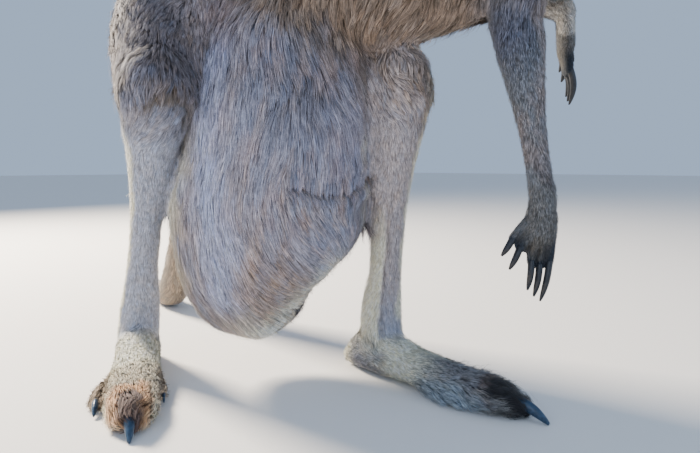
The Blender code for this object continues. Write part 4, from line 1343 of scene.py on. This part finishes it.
def grow(name, fur, chosen, count, per_lock):
    """A piece of coat: count tufts over the chosen triangles of fur, gathered into locks."""
    picked, place = fur.draw(chosen, count)

    def at_roots(values):
        """Values of the surface's vertices, at the roots."""
        return fur.at(values, picked, place)

    def number(key):
        """A number of the coat, at the roots."""
        return at_roots(fur.numbers[key])

    # The root, and how long, wide, steep and wavy each tuft is.
    root = at_roots(fur.points)
    normal = unit(at_roots(fur.normals))
    flow = tangent_to(at_roots(fur.flow), normal)
    long = number("length") * RANDOM.uniform(0.7, 1.2, count)
    wide = number("width") * RANDOM.uniform(0.75, 1.25, count)
    rise = np.radians(number("lift")) * RANDOM.uniform(0.6, 1.3, count)
    gather = number("gather") * RANDOM.uniform(0.7, 1.2, count)
    stray = RANDOM.random(count) < STRAY_SHARE
    rise = rise * (1 + 0.9 * stray)
    long = long * (1 + 0.15 * stray)
    wide = wide * (1 - 0.45 * stray)
    gather = gather * (1 - stray)
    size = long.mean()
    yaw = number("wave") * (ripple(root, 1.6 * size, 11) + 0.6 * ripple(root, 5 * size, 12))
    yaw += RANDOM.normal(0, 0.08, count)
    across = np.cross(flow, normal)
    way = np.cos(yaw)[:, None] * flow + np.sin(yaw)[:, None] * across

    # The tip, at its height over the skin and drawn towards the tip of the lock's middle tuft.
    middle = locks(root, per_lock)
    apart = np.linalg.norm(root - root[middle], axis=1) / size
    rise *= 1.15 - 0.5 * np.clip(apart / 0.35, 0, 1)
    up = long * np.sin(rise)
    tip = root + long[:, None] * way
    height, away = fur.height_and_up(tip)
    free = number("free")
    tip = tip + ((up * TIP_HEIGHT - height) * (1 - free))[:, None] * away + (up * free)[:, None] * normal
    bend = np.clip(dot(away - normal, tip - root) / 8, -0.2 * long, 0.2 * long)
    tip = mix(tip, tip[middle], gather[:, None])
    tip[:, 2] = np.maximum(tip[:, 2], SOLE_LIFT)
    half = 0.5 * (root + tip) + (bend + 0.28 * up)[:, None] * normal
    root = root - ROOT_DEPTH * normal

    # Five vertices a tuft, with normals that round it off.
    ahead = unit(tip - root)
    across = unit(np.cross(ahead, normal))
    blade = unit(np.cross(across, ahead))
    edge = 0.5 * wide[:, None] * across
    verts = np.stack([root - edge, root + edge, half - 0.8 * edge, half + 0.8 * edge, tip], axis=1)
    verts[:, :, 2] = np.maximum(verts[:, :, 2], 0.5 * SOLE_LIFT)
    shade = unit(0.6 * normal + 0.4 * blade)
    left, right = unit(shade - 0.45 * across), unit(shade + 0.45 * across)
    normals = np.stack([left, right, left, right, shade], axis=1)

    # The colour: shade and hue by lock, contrast by tuft, a root darkened for dark roots and for
    # painted shade deep in the coat, and a pale or dark tip.
    varied = number("shade") * RANDOM.normal(size=count)[middle]
    varied = varied + number("contrast") * RANDOM.normal(size=count)
    base = at_roots(fur.colour) * np.maximum(1 + varied, 0.25)[:, None]
    tint = number("tint") * RANDOM.normal(size=count)[middle]
    base = base * (1 + tint[:, None] * WARMER)
    dark = (RANDOM.random(count) < number("tick"))[:, None]
    end = np.where(dark, DARK_TIP, RANDOM.uniform(0.95, 1.65, count)[:, None])
    low = number("root")[:, None] * base
    colours = np.stack([low, low, base, base, base * end], axis=1).clip(0.004, 0.9)

    faces = 5 * np.arange(count)[:, None, None] + np.array(TUFT_FACES)
    chart = at_roots(fur.chart)[:, None, :] + TUFT_CORNERS
    return tufts(name, verts, normals, colours, chart, faces)


def tufts(name, verts, normals, colours, chart, faces):
    """A piece of many small faces, from arrays of its vertices by tuft."""
    corners = faces.reshape(-1, 3).astype(np.int32)
    mesh = bpy.data.meshes.new(name)
    mesh.vertices.add(verts.shape[0] * verts.shape[1])
    mesh.vertices.foreach_set("co", (verts.reshape(-1, 3) + SHIFT).astype(np.float32).ravel())
    mesh.loops.add(corners.size)
    mesh.loops.foreach_set("vertex_index", corners.ravel())
    mesh.polygons.add(len(corners))
    mesh.polygons.foreach_set("loop_start", np.arange(0, corners.size, 3, dtype=np.int32))
    mesh.update()
    mesh.validate()
    mesh.shade_smooth()
    layer = mesh.uv_layers.new(name="OFBake")
    layer.data.foreach_set("uv", chart.reshape(-1, 2)[corners.ravel()].astype(np.float32).ravel())
    set_colour(mesh, colours.reshape(-1, 3))
    free = mesh.attributes.new("custom_normal", "FLOAT_VECTOR", "POINT")
    free.data.foreach_set("vector", unit(normals.reshape(-1, 3)).astype(np.float32).ravel())
    mesh.update()
    return piece(name, mesh, COAT_LOOK)


LEG_FORMS = ("shank", "foot", *TOES)
ARM_FORMS = ("upper_arm", "forearm", "palm", "digit")
# The pieces of the coat: the forms they cover, how many tufts, how many to a lock, and the slot.
COAT_PIECES = {
    "coat_head": (("skull",), 44000, 9, "fur_grey"),
    "coat_neck": (("spine",), 27000, 12, "fur_grey"),
    "coat_trunk_left": (("spine",), 42000, 26, "fur_fawn"),
    "coat_trunk_right": (("spine",), 60000, 26, "fur_fawn"),
    "coat_pouch": (("pouch",), 66000, 14, "fur_white"),
    "coat_thigh_left": (("thigh",), 32000, 16, "fur_grey"),
    "coat_thigh_right": (("thigh",), 50000, 16, "fur_grey"),
    "coat_leg_left": (LEG_FORMS, 38000, 8, "fur_cream"),
    "coat_leg_right": (LEG_FORMS, 48000, 8, "fur_cream"),
    "coat_arm_left": (ARM_FORMS, 19000, 8, "fur_grey"),
    "coat_arm_right": (ARM_FORMS, 30000, 8, "fur_grey"),
    "coat_tail": (("spine",), 14000, 12, "fur_grey"),
}


def covered(name, starts):
    """Whether each vertex of the skin belongs to a piece of the coat."""
    other = {"left": "_right", "right": "_left"}.get(name.rpartition("_")[2], "no side")
    own = [form.startswith(starts) and not form.endswith(other) for form in PLACE.names]
    inside = np.array(own)[PLACE.form]
    if name == "coat_neck":
        return inside & (SPINE_AT >= NECK_ROOT)
    if name == "coat_tail":
        return inside & (SPINE_AT < TAIL_ROOT)
    if name.startswith("coat_trunk"):
        to_left = X > np.interp(SPINE_AT, range(len(SPINE)), [row[0] for row in SPINE])
        own_side = to_left if name.endswith("left") else ~to_left
        return inside & own_side & (SPINE_AT >= TAIL_ROOT) & (SPINE_AT < NECK_ROOT)
    return inside


def charts():
    """A place on the coat's map for each vertex of the skin: a column for each form."""
    own = PLACE.form[None]
    turn = np.take_along_axis(PLACE.turn, own, axis=0)[0] / (2 * math.pi) + 0.5
    along = np.take_along_axis(PLACE.along, own, axis=0)[0]
    most = np.array([len(rows) - 1 for rows, _ in FORMS.values()])[PLACE.form]
    column = (PLACE.form + 0.04 + 0.92 * turn) / len(FORMS)
    return np.stack([column, 0.02 + 0.96 * np.clip(along / most, 0, 1)], axis=1)


def fringe(side, *rows):
    """Where hair hangs free round a foot, from rows of ahead, out, height and radius."""
    return sum(patch(foot_point(side, *spot), radius) for *spot, radius in rows)


BARE = (Z < 0.006) | (distance(SPOTS, head_point(*NOSE_PLACE)) < 0.008)
for side in SIDES:
    BARE |= distance(SPOTS, EYE[side]) < EYE_RADIUS + 0.001
TOE_END = (0.300, 0, 0.026, 0.030)
TOE_FRINGE = 1.0 * fringe("right", TOE_END) + 0.5 * fringe("left", TOE_END)
SOLE_FRINGE = fringe(
    "left", (0.235, 0.030, 0.014, 0.035), (0.180, 0.034, 0.012, 0.030), (0.235, -0.030, 0.014, 0.035)
)
TANGLE = patch((-0.085, -0.135, 0.445), 0.040)
LENGTH = of_coat(1) * (1 - 0.45 * MUZZLE) * (1 - 0.5 * MOUTH_NEAR)
LENGTH = LENGTH * (1 - 0.35 * np.clip(TANGLE, 0, 1)) + 0.014 * TOE_FRINGE + 0.010 * SOLE_FRINGE
CONTRAST = {"forearm": 0.16, "hand": 0.16, "upper_arm": 0.16, "trunk": 0.04, "pouch": 0.04}
# The share of tufts with dark tips.
TICKED = {
    "thigh": 0.30, "trunk": 0.30, "upper_arm": 0.30, "forearm": 0.42, "neck": 0.30, "pouch": 0.12,
    "shank": 0.12, "toes": 0.20, "foot": 0.10, "head": 0.20, "tail": 0.20, "hand": 0.42,
}
NUMBERS = {
    "length": LENGTH,
    "width": of_coat(2),
    "lift": of_coat(3) + 5 * MOUTH_NEAR + 14 * TANGLE + 10 * TOE_FRINGE,
    "density": of_coat(4) * (1 - 0.9 * BARE),
    "root": of_coat(5),
    "gather": of_coat(6) + 0.2 * TANGLE,
    "wave": of_coat(7) + 0.5 * TANGLE,
    "shade": of_coat(8),
    "contrast": 0.18 + sum(share * PARTS[name] for name, share in CONTRAST.items()),
    "tint": 0.03 + 0.02 * THIGH_PART,
    "free": np.clip(TOE_FRINGE + 0.7 * SOLE_FRINGE, 0, 0.9),
    "tick": sum(share * PARTS[name] for name, share in TICKED.items()) + 0.3 * TANGLE,
}
BODY_FUR = Fur(SKIN_SPOTS, CORNERS, SKIN_NORMALS, lie(), MARKINGS, NUMBERS, charts())
for name, (starts, count, per_lock, slot) in COAT_PIECES.items():
    member = covered(name, starts) & ~BARE
    chosen = np.flatnonzero(member[CORNERS].sum(axis=1) >= 2)
    grow(name, BODY_FUR, chosen, count, per_lock)


# ---------------------------------------------------------------- eyes and lids
EYE_LOOK, EYE_SHADER = plain(
    "eye", (0.02, 0.012, 0.008), 0.12, Coat_Weight=0.45, Coat_Roughness=0.05, Specular_IOR_Level=0.25
)
EYE_NOISE = texture(EYE_LOOK, "ShaderNodeTexNoise", Scale=900.0, Detail=2.0)
grained(EYE_LOOK, EYE_SHADER, EYE_NOISE, To_Min=0.6, To_Max=1.4)
PUPIL_BLACK = (0.004, 0.003, 0.003)
IRIS_BROWN = (0.030, 0.014, 0.007)
EYE_RIM = (0.10, 0.07, 0.055)
LID_EDGE = (0.014, 0.011, 0.010)
LID_SKIN = (0.050, 0.042, 0.038)
LASH_BLACK = (0.012, 0.010, 0.010)
# The lids' section: how far out from their edge, as an angle, and how high over the eyeball.
LID_PROFILE = (
    (0.00, -0.0010), (0.00, 0.0006), (0.04, 0.0013), (0.10, 0.0016), (0.20, 0.0012),
    (0.30, 0.0013), (0.44, 0.0004), (0.64, -0.0020), (0.90, -0.0050),
)
LASHES = 26
LASH_LENGTH = 0.0075
LASH_HALF_WIDTH = 0.00028


def eye_axes(side):
    """The direction of an eye's gaze, and the directions ahead and up square to it."""
    ahead, rise = head_way(1, 0, 0), head_way(0, 0, 1)
    out = SIDES[side] * np.array((1.0, 0.0, 0.0))
    gaze = unit(0.32 * ahead + out + 0.16 * rise)
    ahead = square_to(ahead, gaze)
    return gaze, ahead, square_to(rise, gaze, ahead)


def eye_point(side, angle, turn, reach):
    """A point at reach from an eye's centre, at angle from its gaze and turn round it."""
    gaze, ahead, rise = eye_axes(side)
    spoke = math.cos(turn) * ahead + math.sin(turn) * rise
    return EYE[side] + reach * (math.cos(angle) * gaze + math.sin(angle) * spoke)


def eyeball(side):
    """An eyeball with a bulging cornea, iris and wide pupil."""
    rings, columns = 60, 72
    angles = math.pi * (np.arange(rings) + 0.5) / rings
    bulge = EYE_RADIUS * (1 + 0.06 * smooth(-angles, -0.75, -0.2))

    def shade(k, turn):
        """The eyeball's colour: pupil, rayed iris and dim rim."""
        pupil = 0.30 + 0.10 * abs(math.cos(turn))
        iris = smooth(angles[k], pupil - 0.03, pupil + 0.03) * (1 - smooth(angles[k], 0.88, 0.98))
        ray = 0.8 + 0.2 * math.sin(23 * turn + 3 * math.sin(5 * turn))
        inner = mix(PUPIL_BLACK, ray * np.array(IRIS_BROWN), iris)
        return mix(inner, EYE_RIM, 0.7 * smooth(angles[k], 1.05, 1.2))

    verts = turned(rings, columns, lambda k, turn: eye_point(side, angles[k], turn, bulge[k]))
    ball = drawn(f"eyeball_{side}", verts, grid_faces(rings, columns), EYE_LOOK, "eye")
    set_colour(ball.data, np.array(turned(rings, columns, shade)))
    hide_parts(f"eye_{side}")


def lid_opening(turn):
    """The angle from the gaze to the edge of the lids, for a turn round the gaze."""
    rise, ahead = math.sin(turn), math.cos(turn)
    edge = 0.78 if rise > 0 else 0.84
    corner = 1.24 if ahead > 0 else 1.14
    return float(mix(edge, corner, abs(ahead) ** 2.2))


def lids(side):
    """Upper and lower lid: a soft dark rim round the eye, sinking into the face, with lashes."""
    gaze, ahead, rise = eye_axes(side)
    columns = 96
    verts, shades = [], []
    for number, (more, lift) in enumerate(LID_PROFILE):
        for c in range(columns):
            turn = 2 * math.pi * c / columns
            heavy = 1.25 if math.sin(turn) > 0 else 0.9
            verts.append(eye_point(side, lid_opening(turn) + more, turn, EYE_RADIUS + heavy * lift))
            shades.append(mix(LID_EDGE, LID_SKIN, min(1, number / 6)))
    faces = grid_faces(len(LID_PROFILE), columns)
    for k in range(LASHES):
        turn = math.pi * (0.10 + 0.80 * k / (LASHES - 1)) + RANDOM.normal(0, 0.02)
        spoke = math.cos(turn) * ahead + math.sin(turn) * rise
        root = eye_point(side, lid_opening(turn) + 0.03, turn, EYE_RADIUS + 0.0012)
        way = unit(0.75 * gaze + 0.45 * spoke - 0.25 * rise + RANDOM.normal(0, 0.08, 3))
        across = unit(np.cross(way, spoke)) * LASH_HALF_WIDTH
        long = LASH_LENGTH * (0.6 + 0.4 * math.sin(turn))
        middle = root + 0.55 * long * way
        tip = root + long * unit(way + 0.5 * rise)
        first = len(verts)
        verts += [root - across, root + across, middle + 0.7 * across, middle - 0.7 * across, tip]
        faces += [(first, first + 1, first + 2, first + 3), (first + 3, first + 2, first + 4)]
        shades += [LASH_BLACK] * 5
    rim = drawn(f"lids_{side}", verts, faces, SKIN_LOOK, "fur_grey")
    set_colour(rim.data, np.array(shades))


for side in SIDES:
    eyeball(side)
    lids(side)


# ---------------------------------------------------------------- nose, ears, claws and whiskers
def hide_look(name, colour, grain, bump, roughness):
    """Bare hide or horn: fine pebbles in the bump and a little variation in the colour."""
    look, shader = plain(
        name, colour, roughness, Specular_IOR_Level=0.35, Coat_Weight=0.2, Coat_Roughness=0.3
    )
    links = look.node_tree.links
    cells = texture(look, "ShaderNodeTexVoronoi", Scale=grain)
    ramp = node(look, "ShaderNodeValToRGB")
    for stop, share in zip(ramp.color_ramp.elements, (0.6, 1.5)):
        stop.color = (*[min(1, share * c) for c in colour], 1)
    links.new(cells.outputs["Distance"], ramp.inputs["Fac"])
    links.new(ramp.outputs["Color"], shader.inputs["Base Color"])
    bumpy(look, shader, cells.outputs["Distance"], bump)
    return look


NOSE_LOOK = hide_look("nose", (0.014, 0.012, 0.012), 700.0, 0.0006, 0.42)
CLAW_LOOK = hide_look("claw", (0.016, 0.018, 0.022), 260.0, 0.0003, 0.42)
FOOT_CLAW_LOOK = hide_look("foot_claw", (0.020, 0.047, 0.086), 260.0, 0.0003, 0.36)
NOSE_SIZE = np.array((0.0148, 0.0084, 0.0112))


def nose_dent(out, rise):
    """How deep the nostrils and the groove between them are, at a point of the nose's front."""
    dent = 0.0012 * bell(out, 0.07) * (rise < 0.4)
    for sign in SIDES.values():
        slant = rise + 0.08 + 0.3 * (sign * out - 0.52)
        dent += 0.0062 * bell(out - sign * 0.55, 0.20) * bell(slant, 0.20)
        dent += 0.0022 * bell(out - sign * 0.80, 0.20) * bell(rise - 0.12, 0.12)
    return dent


def nose():
    """The bare nose with its two curved nostrils and the groove between them."""
    rings, columns = 56, 80

    def surface(k, turn):
        """A point of the nose, on a flattened ball with its front dented."""
        angle = math.pi * (k + 0.5) / rings
        out = math.sin(angle) * math.cos(turn)
        rise = math.sin(angle) * math.sin(turn)
        local = np.array((out, math.cos(angle), rise)) * NOSE_SIZE * (1.0 + 0.05 * abs(out))
        local[1] -= nose_dent(out, rise) * max(0.0, math.cos(angle)) ** 0.5
        return head_point(NOSE_PLACE[0] + local[1], local[0], NOSE_PLACE[2] + local[2])

    verts, faces = turned(rings, columns, surface), grid_faces(rings, columns)
    leather = drawn("nose_leather", verts, faces, NOSE_LOOK, "nose")
    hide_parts("nose")


def ear_sheet(side):
    """The middle of an ear's leaf, its places along and from middle to edge, and its axes."""
    ahead, rise = head_way(1, 0, 0), head_way(0, 0, 1)
    out = SIDES[side] * np.array((1.0, 0.0, 0.0))
    length = unit(0.93 * rise + 0.34 * out - 0.16 * ahead)
    facing = square_to(0.80 * ahead + 0.62 * out, length)
    across = np.cross(length, facing)
    spot = head_point(EAR_PLACE[0], SIDES[side] * EAR_PLACE[1], EAR_PLACE[2])
    sheet, marks = [], []
    for i in range(EAR_ROWS + 1):
        u = 0.985 * i / EAR_ROWS
        leaf = (u + 0.18) ** 0.6 * max(1 - u**3, 0) ** 0.5 / 0.76
        roll = math.radians(290 - 190 * u**0.7)
        half = 0.5 * EAR_WIDTH * leaf
        radius = min(half / max(math.sin(min(roll, math.pi) / 2), 0.5), 1.25 * half)
        for j in range(EAR_COLUMNS + 1):
            angle = roll * (j / EAR_COLUMNS - 0.5)
            curve = (1 - math.cos(angle)) * facing + math.sin(angle) * across - facing
            sheet.append(spot + EAR_LENGTH * u * length - 0.012 * u**2 * facing + radius * curve)
            marks.append((u, abs(2 * j / EAR_COLUMNS - 1)))
    return np.array(sheet), np.array(marks).T, length, facing


def ear_faces(corners, count):
    """The faces of a leaf of two sides, from the corners of one, closed round its edge."""
    wide, last = EAR_COLUMNS + 1, EAR_ROWS
    ring = list(range(wide))
    ring += [(i + 1) * wide - 1 for i in range(1, last + 1)]
    ring += [last * wide + j for j in range(EAR_COLUMNS - 1, -1, -1)]
    ring += [i * wide for i in range(last - 1, 0, -1)]
    faces = [tuple(row) for row in corners] + [tuple(row[::-1] + count) for row in corners]
    for j, n in zip(ring, ring[1:] + ring[:1]):
        faces.append((j, n, n + count, j + count))
    return faces


def ear(side):
    """A leaf-shaped ear, hollow in front, and the hair on both its faces and its rim."""
    sheet, (along, sideways), length, facing = ear_sheet(side)
    count = len(sheet)
    shape = (EAR_ROWS + 1, EAR_COLUMNS + 1)
    grid = np.array(grid_faces(*shape, closed=False))
    corners = np.vstack([grid[:, (0, 1, 2)], grid[:, (0, 2, 3)]])
    normals = vertex_normals(sheet, corners)
    if dot(normals.reshape(*shape, 3)[EAR_ROWS // 2, EAR_COLUMNS // 2], facing) <= 0:
        normals, corners = -normals, corners[:, ::-1]
    thin = 0.5 * EAR_THICKNESS * (1 - 0.6 * np.maximum(along, sideways) ** 4)[:, None]
    front, back = sheet + thin * normals, sheet - thin * normals
    edge = smooth(sideways, 0.80, 0.97)
    inner = blend(np.tile(EAR_PALE, (count, 1)), EAR_PINK, 0.6 * (1 - smooth(sideways, 0.2, 0.8)))
    inner = blend(inner, MILK, 0.5 * edge)
    outer = blend(np.tile(GREY_BROWN, (count, 1)), FAWN, 0.5 * (1 - along))
    outer = layered(outer, (DARK, 0.6 * smooth(along, 0.82, 0.98)), (EAR_PALE, 0.7 * edge))
    skin = np.vstack([front, back])
    shell = drawn(f"ear_shell_{side}", skin, ear_faces(corners, count), SKIN_LOOK, "fur_grey")
    set_colour(shell.data, 0.7 * np.vstack([inner, outer]))
    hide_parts(f"ear_{side}")

    right = np.tile(np.arange(EAR_COLUMNS + 1) / EAR_COLUMNS, EAR_ROWS + 1)
    rightward = np.gradient(sheet.reshape(*shape, 3), axis=1).reshape(-1, 3)
    outward = unit(np.sign(right - 0.5)[:, None] * rightward)
    chart = np.stack([0.02 + 0.46 * right, 0.02 + 0.96 * along], axis=1)
    front_hair = {
        "length": 0.0100, "width": 0.0008, "lift": 11, "wave": 0.10, "root": 0.85, "gather": 0.25,
        "density": 0.35 + 0.65 * sideways + 0.3 * along, "free": 0, "tick": 0, "shade": 0.05,
        "contrast": 0.10, "tint": 0.03,
    }
    rim_hair = front_hair | {"length": 0.0075, "width": 0.0006, "free": 0.9, "lift": 8}
    back_hair = front_hair | {"length": 0.0055, "lift": 12, "density": 1, "tick": 0.2}
    everywhere = np.arange(len(corners))
    border = np.flatnonzero(((sideways[corners] > 0.90) | (along[corners] > 0.95)).any(axis=1))
    rim_colour = blend(inner, EAR_PALE, np.full(count, 0.8))
    for name, points, outward_share, colour, hair, chosen, tuft_count, slot, per_lock in (
        ("inside", front, 0.9, inner, front_hair, everywhere, 5000, "fur_cream", 6),
        ("rim", sheet, 0.7 / 0.6, rim_colour, rim_hair, border, 1600, "fur_cream", 4),
        ("outside", back, 0.0, outer, back_hair, everywhere, 8000, "fur_grey", 6),
    ):
        flip, shift = (-1, 0.5) if name == "outside" else (1, 0.0)
        flow = tangent_to(length + outward_share * outward, normals)
        numbers = {key: value * np.ones(count) for key, value in hair.items()}
        fur = Fur(points, corners[:, ::flip], flip * normals, flow, colour, numbers, chart + (shift, 0))
        grow(f"coat_ear_{side}_{name}", fur, chosen, tuft_count, per_lock)


def claw(root, tip, dorsal, radius):
    """Vertices and faces of one curved claw, keeled on top and hollowed underneath."""
    rings, columns = 28, 24
    root, tip = np.array(root), np.array(tip)
    long = np.linalg.norm(tip - root)
    along = unit(tip - root)
    side = unit(np.cross(along, dorsal))
    dorsal = np.cross(side, along)

    def surface(k, turn):
        """A point of the claw, which narrows towards its tip along an arch."""
        share = k / rings
        size = radius * (1 - 0.08 * share - 0.66 * share**4.2)
        spot = mix(root, tip, share) + CLAW_ARCH * long * math.sin(math.pi * share) * dorsal
        high = math.sin(turn)
        keel, groove = 0.14 * max(0, high) ** 8, 0.10 * max(0, -high) ** 6
        lift = high * (1.06 if high > 0 else 0.80) + keel - groove
        return spot + size * (0.92 * math.cos(turn) * side + lift * dorsal)

    faces = grid_faces(rings + 1, columns)
    faces.append(tuple(range(columns)))
    faces.append(tuple(rings * columns + c for c in reversed(range(columns))))
    return turned(rings + 1, columns, surface), faces


def claw_set(name, shapes, nodes, look):
    """The claws of one hand or foot as one piece."""
    horn = drawn(name, *merged(claw(*shape) for shape in shapes), look, "claw")
    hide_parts(*nodes)


def claws(side):
    """All claws of one side."""
    shapes = []
    for _, end, tip in DIGITS.values():
        root = hand_point(side, *mix(end, tip, -0.12))
        shapes.append((root, hand_point(side, *tip), hand_axes(side)[2], 1.4 * HAND_CLAW_RADIUS))
    nodes = [f"hand_claw_{name}_{side}" for name in DIGITS]
    claw_set(f"claws_hand_{side}", shapes, nodes, CLAW_LOOK)
    shapes = []
    for ahead, out, height, length, drop, radius in FOOT_CLAWS.values():
        root = foot_point(side, ahead - 0.15 * length, out, height)
        shapes.append((root, foot_point(side, ahead + length, out, height - drop), UP, radius))
    nodes = [f"foot_claw_{name}_{side}" for name in FOOT_CLAWS]
    claw_set(f"claws_foot_{side}", shapes, nodes, FOOT_CLAW_LOOK)


def whisker_roots():
    """Ahead, out, height and length of the whiskers of one side: four rows, and three over the eye."""
    rows = []
    for row in range(4):
        for k in range(5):
            ahead = 0.182 - 0.009 * k - 0.002 * row
            rows.append((ahead, 0.022 + 0.0014 * k, -0.008 - 0.0055 * row, 0.026 + 0.006 * k))
    return rows + [(0.108 - 0.004 * k, 0.037, 0.032, 0.022) for k in range(3)]


def whisker(sign, ahead, out, height, long):
    """Vertices and faces of one whisker, bent back towards its tip."""
    rings, sides = 7, 3
    root = head_point(ahead, sign * out * 0.9, height)
    way = unit(head_way(0.15 + RANDOM.normal(0, 0.15), sign, -0.1 - 5 * height))
    back = unit(head_way(-1, 0, -0.5))
    square = unit(np.cross(way, UP))
    third = np.cross(way, square)

    def surface(k, turn):
        """A point of the whisker."""
        share = k / (rings - 1)
        spot = root + long * (share * way + 0.45 * share**2 * back)
        thick = WHISKER_RADIUS * (1 - 0.85 * share)
        return spot + thick * (math.cos(turn) * square + math.sin(turn) * third)

    return turned(rings, sides, surface), grid_faces(rings, sides)


def whiskers():
    """Stiff dark whiskers from both sides of the muzzle and above the eyes."""
    hairs = [whisker(sign, *row) for sign in SIDES.values() for row in whisker_roots()]
    drawn("whiskers", *merged(hairs), CLAW_LOOK, "claw")


nose()
for side in SIDES:
    ear(side)
    claws(side)
whiskers()


# ---------------------------------------------------------------- floor, light and camera
def floor():
    """A plain pale floor with a faint grain."""
    bpy.ops.mesh.primitive_plane_add(size=40)
    ground = bpy.context.active_object
    ground.name = "floor"
    look, shader = plain("floor", (0.80, 0.77, 0.73), 0.85)
    noise = node(look, "ShaderNodeTexNoise", Scale=60.0, Detail=4.0)
    bumpy(look, shader, noise.outputs["Fac"], 0.0008)
    ground.data.materials.append(look)


def area_light(name, place, target, size, power, colour):
    """A soft square light that points at target."""
    data = bpy.data.lights.new(name, "AREA")
    data.size = size
    data.energy = power
    data.color = colour
    lamp = bpy.data.objects.new(name, data)
    lamp.location = place
    lamp.rotation_euler = (Vector(target) - Vector(place)).to_track_quat("-Z", "Y").to_euler()
    bpy.context.scene.collection.objects.link(lamp)


def daylight():
    """A soft cool surround."""
    world = bpy.data.worlds.new("surround")
    world.use_nodes = True
    background = world.node_tree.nodes["Background"]
    background.inputs["Color"].default_value = (0.55, 0.72, 1.0, 1)
    background.inputs["Strength"].default_value = 0.74
    bpy.context.scene.world = world


def camera():
    """The camera, low and to the front of the animal's right side."""
    data = bpy.data.cameras.new("camera")
    data.sensor_width = 36
    data.lens = CAMERA_LENS
    data.clip_start = 0.01
    eye = bpy.data.objects.new("camera", data)
    eye.location = Vector(CAMERA_PLACE) + Vector(SHIFT)
    eye.rotation_euler = (math.radians(90 + CAMERA_TILT), 0, math.radians(CAMERA_HEADING))
    bpy.context.scene.collection.objects.link(eye)
    bpy.context.scene.camera = eye


floor()
daylight()
area_light("key", (-0.50, 2.65, 2.05), (-0.1, 0, 0.3), 0.7, 500, (1.0, 0.89, 0.74))
area_light("side", (-2.4, -0.6, 1.6), (0, 0, 0.35), 1.4, 16, (0.80, 0.88, 1.0))
area_light("fill", (0.6, -2.6, 1.5), (0, 0, 0.4), 2.0, 20, (0.62, 0.78, 1.0))
camera()
